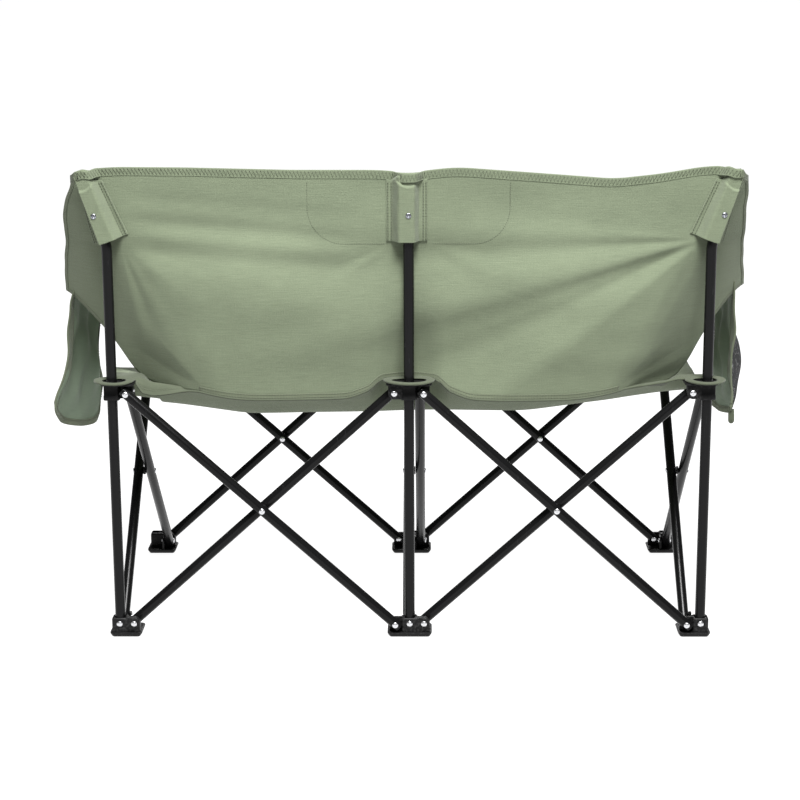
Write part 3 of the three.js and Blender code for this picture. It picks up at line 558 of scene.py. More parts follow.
# Each fan of folds: its held point (x, z), its heading, its ribs as (angle, depth) pairs, its
# depth and its reach. The first four start at the sleeves, the others at the ends of the seam.
FANS = [
    ((538, 749), -1, [(-8, 0), (-2, -0.3), (3.5, 0.5), (11, -0.7), (15, -0.8), (19, 0.4), (25, 1.1),
                      (37, -1.0), (60, 0.4), (80, 0)], 6.6, 900),
    ((-526, 749), 1, [(18, 0), (40, -0.7), (54, 0.5), (64, 0.2), (71, 1.0), (79, -0.6), (88, 0)], 3.6, 250),
    ((-20, 747), -1, [(8, 0), (19, 0.5), (24, 1), (33, -0.7), (46, 0)], 2.6, 150),
    ((22, 747), 1, [(0, 0), (12, 0.8), (24, -0.6), (36, 0.5), (52, 0)], 2.0, 190),
    ((368, 468), 1, [(-64, 0), (-42, -0.8), (-28, 1), (-19, 0.1), (-9, 1), (1, -0.3), (10, 0)], 3.6, 210),
    ((-366, 466), -1, [(-66, 0), (-46, -0.8), (-28, 1), (-10, 0)], 4.5, 200),
]
LEVEL_FOLD = [(640, 0), (700, 0), (735, 1), (763, -1), (788, 0.5), (808, -0.2), (832, 0.3), (846, 0)]


def woven_cloth(name, sunlit, shaded, coated=False):
    """Plain woven polyester: a thread pitch of about a millimetre, slubs along the weft, and a
    faint cloudiness. A coated face has its threads filled and a slight shine."""
    cloth = Finish(name, ("ShaderNodeUVMap", {"uv_map": "cut"}, {}))
    across = cloth.node("ShaderNodeSeparateXYZ", {}, {"Vector": cloth.place})
    up = Flow(cloth, across.socket.node.outputs["Y"])
    pitch = 2 * math.pi / THREAD_PITCH
    threads = (across * pitch).sine() * (up * pitch).sine()
    slub = cloth.noise(1, 3, (28, 520, 1))
    warp = cloth.noise(1, 2, (620, 34, 1))
    cloud = cloth.noise(9, 3)
    grain = cloth.noise(420, 2)
    shade = (0.40 * slub + 0.12 * warp + 0.26 * cloud + 0.36 * grain - 0.57) * 1.9 + 0.5
    height = 0.30 * threads + 0.9 * slub + 0.5 * warp + 0.7 * grain
    return cloth.shade(
        base_color=cloth.mix(shade.rise(0.0, 1.0), shaded, sunlit),
        roughness=(0.52 if coated else 0.80) + 0.14 * grain,
        sheen_weight=0.0 if coated else 0.12,
        sheen_roughness=0.5,
        specular_ior_level=0.35,
        normal=cloth.bump(height, 0.00022 if coated else 0.00040, 0.8),
    )


def smooth(low, high, value):
    """0 below low, 1 above high, eased between."""
    share = np.clip((value - low) / (high - low), 0, 1)
    return share * share * (3 - 2 * share)


def fade(low, high, value):
    """1 below low, 0 above high, eased between."""
    return 1 - smooth(low, high, value)


def eased(pairs, x, span=20):
    """A line through (x, value) pairs, its corners rounded by averaging over a span each way."""
    shifts = np.linspace(-span, span, 9).reshape(-1, *([1] * np.ndim(x)))
    return np.interp(x + shifts, *np.transpose(pairs)).mean(axis=0)


def eased_by_side(lines, x):
    """The eased line of the side on which x lies, over the distance from the middle."""
    reach = np.abs(x)
    return np.where(x < 0, eased(lines["left"], reach), eased(lines["right"], reach))


def between_posts(x):
    """0 at each upright, 1 half way between two of them, and 0 past the outer ones."""
    return np.where(np.abs(x) < BAY, np.sin(np.pi * x / BAY) ** 2, 0)


def seat_height(x, y):
    """The seat lies flat on each hub plate, sags along its rear and front edges between them, and
    hangs like a hammock from one edge to the other, less deep at its two ends."""
    reach = np.abs(x)
    from_post = np.minimum(reach, np.abs(reach - BAY))
    from_row = np.minimum(np.abs(y), np.abs(y - BAY))
    rest = np.where(reach < BAY / 2, 46, np.where(x < 0, 120, 50))
    on_hub = fade(44, 76, from_post) * fade(rest, rest + 48, from_row)
    drop = np.where(reach < BAY / 2, smooth(10, 125, reach), between_posts(x))
    edge = (REAR_SAG - (REAR_SAG - FRONT_SAG) * np.clip(y / BAY, 0, 1)) * drop
    sag = edge + (eased_by_side(SEAT_DEPTH, x) - edge) * smooth(10, 150, from_row)
    return SEAT_LEVEL - sag * (1 - on_hub)


def wing_root(z):
    """Where the cloth turns forward: at the upright, and outward with its bent top."""
    return WING_START + np.maximum(0, z - BEND_HEIGHT) * math.tan(LEAN)


def fan(x, z, origin, heading, ribs, depth, reach):
    """Folds that run out from one held point like the ribs of a fan: a line through (angle, depth)
    pairs, over the angle below the level, fading at the held point and at its far reach."""
    out, down = (x - origin[0]) * heading, origin[1] - z
    far = np.hypot(out, down) + 1e-6
    angle = np.degrees(np.arctan2(down, out))
    grown = smooth(6, 80, far) * fade(0.5 * reach, reach, far) * (far / 200) ** 0.6
    return depth * eased(ribs, angle, 1.8) * grown


def wrinkles(x, z):
    """Small creases of no order: thirty waves, each of its own length, slant and start, most of
    them nearly level, whose sum swells and dies away over the cloth."""
    chance = np.random.default_rng(7)
    slants, starts = chance.normal(0, 0.32, 30), chance.uniform(0, 6.28, 30)
    total = 0 * (x + z)
    for slant, start, length in zip(slants, starts, np.geomspace(9, 60, 30)):
        total = total + length * np.sin((z * math.cos(slant) + x * math.sin(slant)) / length + start)
    return 0.0135 * total * (0.6 + 0.4 * np.sin(x / 83 + z / 59))


def back_folds(x, z):
    """All fans of folds, one long level fold across the left bay, and small creases. Positive is
    away from the rear."""
    folds = sum(fan(x, z, *held) for held in FANS)
    level = eased(LEVEL_FOLD, z + 0.085 * (x + BAY), 7)
    folds += 3.8 * level * smooth(-540, -440, x) * fade(-190, -40, x)
    creased = (0.35 + 0.65 * between_posts(x)) * (1 + 0.7 * smooth(-40, 40, x))
    return folds * (np.abs(x) < BAY) + wrinkles(x, z) * creased


def tucked(x, z, slope, round_over):
    """The cloth turns forward past a slanted line from the mouth of an outer sleeve to the end of
    the seam: by a slope times the distance past that line, rounded over at the line."""
    past = 0.87 * (np.minimum(np.abs(x), BAY + 14) - 378) - 0.495 * (z - 468)
    rounded = np.maximum(0, past + round_over) ** 2 / (4 * round_over)
    return slope * np.where(past > round_over, past, rounded)


def back_depth(x, z):
    """The distance in front of the uprights' line: a standoff, less the rearward belly, with the
    folds, the forward tuck of the lower corners, the pull of the seat's middle ring, and the wing's
    turn past the outer uprights."""
    below = BACK_TOP - z
    fuller = np.where(np.abs(x) < BAY / 2, 1 - 0.45 * smooth(170, 320, below), 1)
    fullness = smooth(75, 240, below) - 0.36 * smooth(230, 420, below)
    belly = BELLY * between_posts(x) ** fuller * fullness
    tuck = np.where(x < 0, tucked(x, z, *TUCK["left"]), tucked(x, z, *TUCK["right"]))
    wing = np.where(x < 0, WING_WIDTH["left"], WING_WIDTH["right"])
    past = np.maximum(0, np.abs(x) - wing_root(z)) / wing
    at_ring = 15 * fade(9, 64, np.abs(x)) * smooth(150, 360, below)
    return STANDOFF - belly + back_folds(x, z) + tuck + at_ring + WING_FORWARD * past**1.3


def back_lower_edge(x):
    """The seam on the rear edge of the seat, then the rising lower edge of a wing."""
    seam = seat_height(np.minimum(np.abs(x), SEAM_HALF), SEAM_DEPTH)
    return seam - 0.5 + eased_by_side(LOWER_EDGE, x)


def back_panel(across, up):
    """A grid between the outer uprights: shares from -1 to 1 across, and 0 to 1 up."""
    reach = across * WING_START
    low = back_lower_edge(reach)
    z = low + (eased(TOP_LINE, reach) - low) * up
    x = across * wing_root(z)
    return xyz(x, back_depth(x, z), z)


def wing_panel(side, out, up):
    """A grid from an outer upright to the free edge of its wing, which narrows to the upright's
    tip and waves a little."""
    sign = -1 if side == "left" else 1
    width = WING_WIDTH[side]
    low = back_lower_edge(sign * (WING_START + out * width))
    top = eased(TOP_LINE, sign * (WING_START + 57 * out))
    z = low + (top - low) * up
    root = wing_root(z)
    tip = wing_root(BACK_TOP) + 13
    narrowed = smooth(BACK_TOP - WING_TAPER[side], BACK_TOP, z) ** 1.5
    spread = WING_START + width + 16 * smooth(60, 260, BACK_TOP - z)
    edge = np.maximum(spread + (tip - spread) * narrowed, root + 10)
    edge += 1.2 * np.sin(z / 17 + sign) + 0.7 * np.sin(z / 7.3 + 2) * np.sin(z / 41)
    x = sign * (root + (edge - root) * out)
    return xyz(x, back_depth(x, z) + 1.5 * np.sin(z / 21) * out**2, z)


def shares(across, up, low=0.0):
    """Two grids of even shares, one across and one up."""
    return np.meshgrid(np.linspace(low, 1, across), np.linspace(0, 1, up), indexing="ij")


def elevation(grid):
    """Each point's place in the cloth as seen from behind, in metres."""
    return grid[..., [0, 2]] / 1000


def laid_out(grid):
    """Each point's place in the flat cloth: its distance along its row and column, in metres."""
    steps_u = np.linalg.norm(np.diff(grid, axis=0, prepend=grid[:1]), axis=-1).cumsum(axis=0)
    steps_v = np.linalg.norm(np.diff(grid, axis=1, prepend=grid[:, :1]), axis=-1).cumsum(axis=1)
    return np.stack([steps_u.mean(axis=1, keepdims=True) + 0 * steps_v, steps_v], axis=-1) / 1000


def set_cut(mesh, flat):
    """The cut map, which holds each point's place in the flat cloth, in metres."""
    corner = np.empty(len(mesh.loops), np.int32)
    mesh.loops.foreach_get("vertex_index", corner)
    layer = mesh.uv_layers.new(name="cut")
    layer.data.foreach_set("uv", flat.reshape(-1, 2)[corner].astype(np.float32).ravel())


def thicken(piece, thickness, finish_behind=0):
    """A sheet made as thick as its cloth, evenly to both sides."""
    wall = piece.modifiers.new("thickness", "SOLIDIFY")
    wall.thickness = thickness / 1000
    wall.offset = 0
    wall.use_even_offset = False
    wall.material_offset = finish_behind


def add_cloth(name, body, finishes, grid, thickness=CLOTH, cut=None, finish_behind=0):
    """A sheet of cloth of one grid of points in millimetres, laid out flat for its cut map unless
    a cut is given."""
    piece = add_piece(name, body, finishes, [(grid, 0)], ALL_SMOOTH, ring=False)
    set_cut(piece.data, laid_out(grid) if cut is None else cut)
    thicken(piece, thickness, finish_behind)
    return piece


def tape(edge, inward, face, width, stand=1.7):
    """A folded tape along an edge: from one face of the cloth, round the edge, to the other face.
    Edge is a line of points, inward points into the cloth and face across it. Close rows at both
    ends of a face keep it flat in the shading."""
    turn = np.linspace(0, np.pi, 7)
    flats = np.array([1.0, 0.95, 0.35, 0.06]) * width
    level = np.ones(len(flats))
    inset = np.concatenate([flats, -stand * 0.8 * np.sin(turn), flats[::-1]])
    across = np.concatenate([level, np.cos(turn), -level]) * stand
    face = np.broadcast_to(face, edge.shape)
    return edge[:, None] + inset[:, None] * inward[:, None] + across[:, None] * face[:, None]


def run_length(line):
    """The distance along a line to each of its points."""
    return np.concatenate([[0], np.linalg.norm(np.diff(line, axis=0), axis=1).cumsum()])


def at_stations(station, length, line):
    """The points of a line at given distances along it."""
    return np.stack([np.interp(station, length, line[:, k]) for k in range(3)], axis=1)


def stitches(line, face, pitch=5.2, radius=0.7):
    """A row of stitches as one thread: a round profile carried along a line on the cloth, which
    lies on it for most of each stitch and dips into it between stitches. Face points out of the
    cloth, once or at each point of the line."""
    length = run_length(line)
    count = max(int(length[-1] / pitch), 2)
    share = np.repeat(np.arange(count), 4) + np.tile([0.06, 0.22, 0.72, 0.88], count)
    station = share * length[-1] / count
    centre = at_stations(station, length, line)
    out = unit(at_stations(station, length, np.broadcast_to(face, line.shape)))
    across = unit(np.cross(out, np.gradient(centre, axis=0)))
    centre = centre + np.tile([-1.0, 0.2, 0.2, -1.0], count)[:, None] * out
    return capped(circles(centre, across, out, radius, 6))


def zigzag(first, second, pitch=3.3, radius=0.9):
    """A thread that crosses to and fro between two lines, a pitch further on at each crossing."""
    length = run_length(first)
    station = np.arange(0, length[-1], pitch)
    share = (np.arange(len(station)) % 2)[:, None]
    first, second = at_stations(station, length, first), at_stations(station, length, second)
    return swept(first * (1 - share) + second * share, radius, 5)


def thread_finish():
    """Twisted polyester thread, a few shades darker than the cloth, its twist a fine ripple."""
    thread = Finish("sewing_thread")
    twist = thread.noise(1800, 2)
    return thread.shade(
        base_color=thread.mix(twist, (0.046, 0.055, 0.033, 1), (0.085, 0.100, 0.062, 1)),
        roughness=0.62 + 0.2 * twist,
        normal=thread.bump(twist, 0.0002, 0.5),
    )


def add_stitching(name, body, rows, more=()):
    """One piece of all the rows of stitches on a panel, and of further threads."""
    threads = [stitches(*row) for row in rows] + list(more)
    piece = add_piece(name, body, [thread], [(surface, 0) for surface in threads], ALL_SMOOTH)
    return piece


def gather_back(piece):
    """Gives a piece of the back a mesh of its own."""
    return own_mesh(piece)


def over_tube_end(edge):
    """The hem's line, led round the rear of each tube end that it closes."""
    reach = np.abs(edge[:, 0])
    from_end = np.minimum(reach, np.abs(reach - UPRIGHT_TIP))
    return edge + REARWARD * (24 * fade(10, 30, from_end))[:, None]


sage = woven_cloth("sage_cloth", (0.139, 0.166, 0.105, 1), (0.094, 0.114, 0.071, 1))
sage_tape = woven_cloth("sage_binding", (0.116, 0.136, 0.086, 1), (0.080, 0.095, 0.059, 1))
# A darker cloth: the binding of the rings, seat edges and tab, and painted shade on the seat beside the outer
# rings.
dark_binding_and_painted_shade = woven_cloth("sage_binding_and_painted_shade", (0.070, 0.083, 0.052, 1), (0.046, 0.055, 0.034, 1))
thread = thread_finish()

grid = back_panel(*shares(331, 103, -1.0))
crumpled = smooth(548, 580, np.abs(grid[:, -1, 0]))
grid[:, -1, 2] += 1.4 * np.sin(grid[:, -1, 0] / 4.3) * crumpled
back = add_cloth("back_panel", "rear_centre_post", [sage], grid, cut=elevation(grid))
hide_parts("back_cloth")

downward = unit(grid[:, -4] - grid[:, -1])
hem_grid = tape(over_tube_end(grid[:, -1]), downward, REARWARD, HEM_WIDTH, 0.9)
hem = add_cloth("back_top_hem", "rear_centre_post", [sage], hem_grid, TAPE_THICKNESS)

seam_columns = np.abs(grid[:, 0, 0]) < SEAM_HALF
seam_edge = grid[seam_columns, 0]
upward = unit(grid[seam_columns, 3] - seam_edge)
seam_grid = tape(seam_edge, upward, REARWARD, SEAM_WIDTH)
seam = add_cloth("back_seat_seam", "rear_centre_post", [sage_tape], seam_grid, TAPE_THICKNESS)

PATCH_HALF = 183
PATCH_DROP = 130
PATCH_CORNER = 66
PATCH_GAP = 42
turn = np.linspace(0, np.pi / 2, 24)
straight_x = np.linspace(0, PATCH_HALF - PATCH_CORNER, 30, endpoint=False)
corner_x = PATCH_HALF - PATCH_CORNER * (1 - np.sin(turn))
corner_z = PATCH_CORNER * (1 - np.cos(turn))
half_x = np.concatenate([straight_x, corner_x, [PATCH_HALF]])
half_z = np.concatenate([0 * straight_x, corner_z, [PATCH_DROP - 18]]) + BACK_TOP - PATCH_DROP
patch_x = np.concatenate([-half_x[:0:-1], half_x])
patch_z = np.concatenate([half_z[:0:-1], half_z])
patch_line = xyz(patch_x, back_depth(patch_x, patch_z) - CLOTH / 2, patch_z)

rear_rows = [
    (seam_grid[:, 0] + REARWARD * 0.4 - upward * 1.5, REARWARD),
    (seam_grid[:, 2] + REARWARD * 0.4, REARWARD),
]
for half in (patch_x < -PATCH_GAP, patch_x > PATCH_GAP):
    rear_rows.append((patch_line[half], REARWARD, 4.0, 0.5))
hem_lines = hem_grid[:, 0] + REARWARD * 0.5 - downward * 3, hem_grid[:, 3] + REARWARD * 0.5
rear_stitching = add_stitching("back_stitching", "rear_centre_post", rear_rows, [zigzag(*hem_lines)])

for piece in (back, hem, seam, rear_stitching):
    gather_back(piece)

for side in ("left", "right"):
    body = f"rear_{side}_post"
    grid = wing_panel(side, *shares(31, 91))
    if side == "left":
        grid = grid[::-1]
    wing = add_cloth(f"{side}_wing", body, [sage], grid, cut=elevation(grid))
    free, inner = (grid[0], grid[3]) if side == "left" else (grid[-1], grid[-4])
    inward = unit(inner - free)
    face = unit(np.cross(unit(np.gradient(free, axis=0)), inward)) * (1 if side == "left" else -1)
    free_tape = tape(free, inward, face, 9)
    low_in = unit(grid[:, 3] - grid[:, 0])
    top_in = unit(grid[:, -4] - grid[:, -1])
    top_edge = over_tube_end(grid[:, -1])
    strips = {
        "tape": (free_tape if side == "left" else free_tape[::-1], TAPE_THICKNESS),
        "hem": (tape(grid[:, 0], low_in, REARWARD, 7), 0.8),
        "top_hem": (tape(top_edge, top_in, REARWARD, HEM_WIDTH, 1.1), TAPE_THICKNESS),
    }
    trims = [add_cloth(f"{side}_wing_{kind}", body, [sage_tape], *strip) for kind, strip in strips.items()]
    rows = [
        (free + inward * 7 + face * 2.2, face),
        (top_edge + top_in * 12 + REARWARD * 2.2, REARWARD),
    ]
    trims.append(add_stitching(f"{side}_wing_stitching", body, rows))

# Back patch.
# A second layer of the same cloth, with rounded lower corners, is sewn to the front of the back
# behind the sitters' shoulders. Its thread shows through to the rear.
across, up = shares(121, 31, -1.0)
x = across * PATCH_HALF
patch_low = np.interp(x, patch_x, patch_z)
z = patch_low + (BACK_TOP - 12 - patch_low) * up
grid = xyz(x, back_depth(x, z) + 2.4, z)[::-1]
patch = add_cloth("shoulder_patch", "rear_centre_post", [sage], grid, 1.2, elevation(grid))
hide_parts("back_patch")
front_line = xyz(patch_x, back_depth(patch_x, patch_z) + 3.2, patch_z + 2)
patch_stitching = add_stitching("patch_stitching", "rear_centre_post", [(front_line, -REARWARD)])
for piece in (patch, patch_stitching):
    gather_back(piece)

# Sleeves and screws.
# A pocket of doubled cloth is sewn to the back over the top of each upright, with two rows of
# stitching down each flange. A zinc pan-head screw through it holds the cloth to the tube.
SLEEVE_START = 7
SLEEVE_LIP = 107
SLEEVE_CROWN = -14.4
SLEEVE_WIDE = {"left": 1, "centre": -1, "right": -1}
SLEEVE_HALVES = {"left": (43, 29), "centre": (40, 34), "right": (43, 27)}
SCREW_RADIUS = 5.2
SCREW_HEIGHT = 2.4
SCREW_PLACE = 0.46


def sleeve_point(side, across, up):
    """Flanges that follow the back, and between them a soft hump over the tube, wider to one side.
    Across runs from -1 to 1, and up from 0 at the open mouth to 1, where it closes over the tube's
    end. A U-shaped lip near the top is the edge of the outer layer."""
    lean = LEANS[side]
    wide, narrow = SLEEVE_HALVES[side]
    if lean:
        wide, narrow = wide - 10 * up, narrow - 18 * up
    on_wide = across * SLEEVE_WIDE[side] > 0
    offset = across * np.where(on_wide, wide, narrow)
    far = np.abs(offset)
    past_wide = smooth(0.38 * wide, wide - 8, far)
    hump = 1 - np.where(on_wide, past_wide, smooth(8.5, 7.3 + 0.37 * narrow, far))
    edge = PLACES[side] + offset * math.cos(lean) + UPRIGHT_TOP * 0.15 * math.sin(lean)
    height = eased(TOP_LINE, edge) - 15 + hump * (BACK_TOP - 2.5 - eased(TOP_LINE, edge) + 15)
    full = (height - BEND_HEIGHT + offset * math.sin(lean)) / math.cos(lean)
    run = SLEEVE_START + (full - SLEEVE_START) * up
    from_lip = run - SLEEVE_LIP - 15 * np.clip(far / 26, 0, 1) ** 2
    lip = 4.0 * smooth(-1.5, 2.5, from_lip)
    crown = SLEEVE_CROWN + lip - 0.3 * np.exp(-(((from_lip + 1.5) / 2.5) ** 2))
    crown = crown * np.sqrt(1 - np.clip((run - full + 4.5) / 4.5, 0, 1) ** 2)
    x = PLACES[side] + offset * math.cos(lean) + run * math.sin(lean)
    z = BEND_HEIGHT - offset * math.sin(lean) + run * math.cos(lean)
    ground = back_depth(x, z) - 2.4
    slack = 1.2 * np.sin(up * 9 + offset / 9) * hump * (1 - hump) * 4
    return xyz(x, ground * (1 - hump) + crown * hump - slack, z)


def pan_head(centre, size, height):
    """A pan head as rings from rim to middle, with a cross-shaped recess pressed into it."""
    around = np.linspace(0, 2 * np.pi, 48, endpoint=False)
    ring, turn = np.meshgrid(np.linspace(1, 0.001, 15), around, indexing="ij")
    a, b = ring * np.cos(turn), ring * np.sin(turn)
    dome = height * np.sqrt(1 - 0.9 * ring**3)
    slot = np.maximum(fade(0.10, 0.22, np.abs(a)), fade(0.10, 0.22, np.abs(b)))
    dome -= 1.1 * slot * fade(0.45, 0.6, ring)
    rim = xyz(a[:1] * size, 0 * a[:1], b[:1] * size)
    return centre + np.concatenate([rim, xyz(a * size, -dome, b * size)])


screw_zinc = zinc_plate("screw_zinc", (0.20, 0.21, 0.23, 1), (0.34, 0.35, 0.38, 1))
for side, x in PLACES.items():
    body = f"rear_{side}_post"
    up, across = shares(97, 71)
    grid = sleeve_point(side, 2 * across - 1, up)[:, ::-1]
    sleeve = add_cloth(f"{side}_sleeve", body, [sage], grid, 1.4, elevation(grid))
    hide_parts(f"rear_{side}_sleeve")
    rows = []
    for offset in (-0.93, -0.78, 0.78, 0.93):
        line = sleeve_point(side, np.full(80, offset), np.linspace(0.01, 0.97, 80))
        rows.append((line + REARWARD * 0.9, REARWARD, 5.2, 0.9))
    sewing = add_stitching(f"{side}_sleeve_stitching", body, rows)
    lean = LEANS[side]
    run = SCREW_PLACE * (UPRIGHT_TOP - BEND_HEIGHT) / math.cos(lean)
    height = BEND_HEIGHT + run * math.cos(lean)
    centre = np.array([x + run * math.sin(lean), SLEEVE_CROWN - 0.6, height])
    head = pan_head(centre, SCREW_RADIUS, SCREW_HEIGHT)
    add_part(f"{side}_pan_screw", body, [screw_zinc], [(head, 0)], f"rear_{side}_screw", 35)

# Seat.
# A sling of the same cloth between the rear and front hubs, folded across its middle as the
# frame closes. Its edge is bound in a dark tape, and a bound ring of cloth at each corner and in
# the middle slips over each post. Beside the outer rings the dark finish spreads over the seat as
# painted shade, where the cloth above overhangs it.
SEAT_HALF_WIDTH = BAY + 14
SEAT_EDGE = 15
# How far the painted shade reaches in from the seat's edge beside the outer rings.
CORNER_SHADE_REACH = 58
RING_DEPTH = 26
RING_BAND = 7.5
RING_HALF = {"left": 29.5, "centre": 39.5, "right": 29.5}
RING_SHIFT = {"left": 4, "centre": 0, "right": -4}
UPWARD = np.array([0.0, 0.0, 1.0])


def seat_edge(row, x):
    """How far inside its row of hubs the bound edge runs: round each ring, straight between them,
    and at the rear back to the seam under the back."""
    reach = np.abs(x)
    from_outer = np.abs(reach - BAY + RING_SHIFT["left"]) / RING_HALF["left"]
    from_ring = np.where(reach > BAY / 2, from_outer, reach / RING_HALF["centre"])
    ring = RING_DEPTH * np.sqrt(np.maximum(0, 1 - from_ring**2))
    straight = np.full_like(x, SEAT_EDGE)
    if row == "rear":
        from_post = np.minimum(reach, np.abs(reach - BAY))
        sewn = fade(SEAM_HALF - 10, SEAM_HALF + 50, reach) * smooth(40, 66, from_post)
        straight += (back_depth(x, back_lower_edge(x)) - 2.5 - SEAT_EDGE) * sewn
    return np.where(ring > 0, np.maximum(straight, ring), straight)


def seat_panel(row, across, inward):
    """Half of the seat: from its bound edge, which curves round each ring, to the middle crease.
    Beside the left post the rear edge droops."""
    toward = 1 if row == "rear" else -1
    x = across * SEAT_HALF_WIDTH
    edge = seat_edge(row, x)
    y = ROWS[row] + toward * (edge + (BAY / 2 - edge) * inward)
    ripple = 1.3 * np.sin(x / 37 + y / 23) * np.sin(y / 51) * smooth(0.15, 0.5, inward)
    beside_post = smooth(-512, -490, x) * fade(-486, -374, x)
    droop = 25 * beside_post * fade(0.0, 0.032, inward) * (row == "rear")
    return xyz(x, y, seat_height(x, y) + ripple - droop)


def bound_ring(side, y):
    """A flat band of bound cloth round a post, on the hub plate, thicker at its outer rim."""
    around = [np.linspace(0, 2 * np.pi, count, endpoint=False) for count in (96, 18)]
    turn, about = np.meshgrid(*around, indexing="ij")
    out = np.sign(np.cos(about)) * np.abs(np.cos(about)) ** 0.7
    over = np.sign(np.sin(about)) * np.abs(np.sin(about)) ** 0.7
    x = PLACES[side] + RING_SHIFT[side] + (RING_HALF[side] + RING_BAND * out) * np.cos(turn)
    z = SEAT_LEVEL + 1.2 + 2.2 * (1 + 0.35 * out) * over + 0.6 * np.sin(2 * turn + 1)
    grid = xyz(x, y + (RING_DEPTH + RING_BAND * out) * np.sin(turn), z)
    return np.concatenate([grid, grid[:1]])


def paint_corner_shade(mesh, hubs):
    """The dark second finish on the faces beside the outer rings: painted shade where the cloth above
    overhangs the seat.
    """
    middle = np.empty(len(mesh.polygons) * 3, np.float32)
    mesh.polygons.foreach_get("center", middle)
    x, y = np.abs(middle[0::3]) * 1000, np.abs(middle[1::3] * 1000 - hubs)
    # Painted shade: the faces within a band of the edge that widens toward the outer rings.
    bound = y < SEAT_EDGE + CORNER_SHADE_REACH * smooth(SEAM_HALF - 20, BAY - 70, x)
    mesh.polygons.foreach_set("material_index", bound.astype(np.int32))


for row, hubs in ROWS.items():
    body = f"seat_{row}"
    grid = seat_panel(row, *shares(281, 67, -1.0))
    if row == "front":
        grid = grid[::-1]
    # The dark second finish is painted shade on the seat's outer corners.
    panel = add_cloth(f"seat_{row}_panel", body, [sage, dark_binding_and_painted_shade], grid, cut=grid[..., :2] / 1000)
    paint_corner_shade(panel.data, hubs)
    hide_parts(f"seat_{row}_cloth")
    edge_line = grid[:, 0]
    into = unit(grid[:, 3] - edge_line)
    edge_face = unit(UPWARD - (UPWARD * into).sum(axis=1, keepdims=True) * into)
    strip = tape(edge_line, into, edge_face, 10)
    # The edge tape is in the dark finish along its whole length, and carries the painted shade through the
    # outer corners.
    edge = add_cloth(f"seat_{row}_tape", body, [dark_binding_and_painted_shade], strip[:, ::-1], TAPE_THICKNESS, laid_out(strip))
    edge_row = edge_line + into * 8 + edge_face * 2.2, edge_face
    sewing = add_stitching(f"seat_{row}_stitching", body, [edge_row])
    for piece in (panel, edge, sewing):
        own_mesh(piece)
    for side in PLACES:
        grid = bound_ring(side, hubs)[:, ::-1]
        ring = add_piece(f"seat_{row}_{side}_ring", f"{row}_{side}_hub", [dark_binding_and_painted_shade], [(grid, 0)], ALL_SMOOTH)
        spot = np.empty(len(ring.data.vertices) * 3, np.float32)
        ring.data.vertices.foreach_get("co", spot)
        set_cut(ring.data, spot.reshape(-1, 3)[:, :2])

# Arms.
# A doubled band of the cloth runs from each wing to the front post. Its front end is turned down
# and hemmed over the post's cap, and a row of stitching runs along each edge.
ARM_REAR = 92
ARM_FRONT = BAY + 16
ARM_WIDTH = 84
ARM_LEVEL = 645.3
ARM_HEM = 0.86
ARM_AT_WING = 655.0
SIDES = {
    "left": {"sign": -1, "flare": 46, "bulge": 8, "short": 23, "slant": 26, "belly": 37},
    "right": {"sign": 1, "flare": -2, "bulge": 22, "short": 20, "slant": -15, "belly": 26},
}


def arm_outer(side, y):
    """The outer edge of an arm in plan, running in from the wing to the post."""
    share = (y - ARM_REAR) / (BAY - ARM_REAR)
    rear = WING_START + WING_WIDTH[side] - 4
    return rear + (BAY + ARM_WIDTH / 2 - rear) * smooth(0.1, 1, share)


def arm_height(y):
    """Level at the post, a little raised at the wing, with a slight sag between."""
    share = np.clip((y - ARM_REAR) / (BAY - ARM_REAR), 0, 1)
    return ARM_LEVEL + 12 * (1 - share) ** 2 - 9 * np.sin(np.pi * share) ** 2


def arm_panel(side, along, across):
    """The band from the wing's face to the post, its last part turned down over the post as a hem,
    with its edges rolled under."""
    sign = SIDES[side]["sign"]
    turned = np.maximum(0, along - ARM_HEM) / (1 - ARM_HEM)
    at_wing = arm_outer(side, ARM_REAR) - ARM_WIDTH * across
    start = np.maximum(ARM_REAR, back_depth(sign * at_wing, ARM_AT_WING) + 2.5)
    y = start + (ARM_FRONT - start) * np.minimum(along / ARM_HEM, 1) + 3 * np.sin(turned * np.pi / 2)
    x = arm_outer(side, np.minimum(y, BAY)) - ARM_WIDTH * across
    roll = 2.6 * (2 * np.abs(across - 0.5)) ** 6
    ripple = 0.8 * np.sin(y / 19) * np.sin(np.pi * across)
    return xyz(sign * x, y, arm_height(y) - 46 * turned - roll + ripple)


def gather_arm(piece):
    """Gives a piece on an arm a mesh of its own."""
    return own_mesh(piece)


for side in SIDES:
    body = f"front_{side}_hub"
    grid = arm_panel(side, *shares(121, 31))
    if side == "left":
        grid = grid[:, ::-1]
    arm = add_cloth(f"{side}_arm_band", body, [sage], grid[:, ::-1], 2.6, laid_out(grid))
    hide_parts(f"{side}_arm")
    rows = []
    along = np.linspace(0.01, 0.99, 140)
    over_post = np.arange(len(along)) >= 122
    for share in (0.07, 0.93):
        line = arm_panel(side, along, 0 * along + share) + (0, 0, 1.4)
        line[over_post] += (0, 1.4, -1.4)
        rows.append((line, np.where(over_post[:, None], -REARWARD, UPWARD)))
    sewing = add_stitching(f"{side}_arm_stitching", body, rows)
    for piece in (arm, sewing):
        gather_arm(piece)

# Side flaps and mesh pockets.
# A cloth flap with bound edges hangs from the outer edge of each arm, coated on its inner face.
# A pocket of black knitted net is sewn to its outer face under an elastic band.
FLAP_REAR = 128
FLAP_FRONT = 306
FLAP_DROP = 258
MESH_INSET = 10
MESH_TOP = 0.38
MESH_HOLE = 0.6
MESH_CORD = 0.4


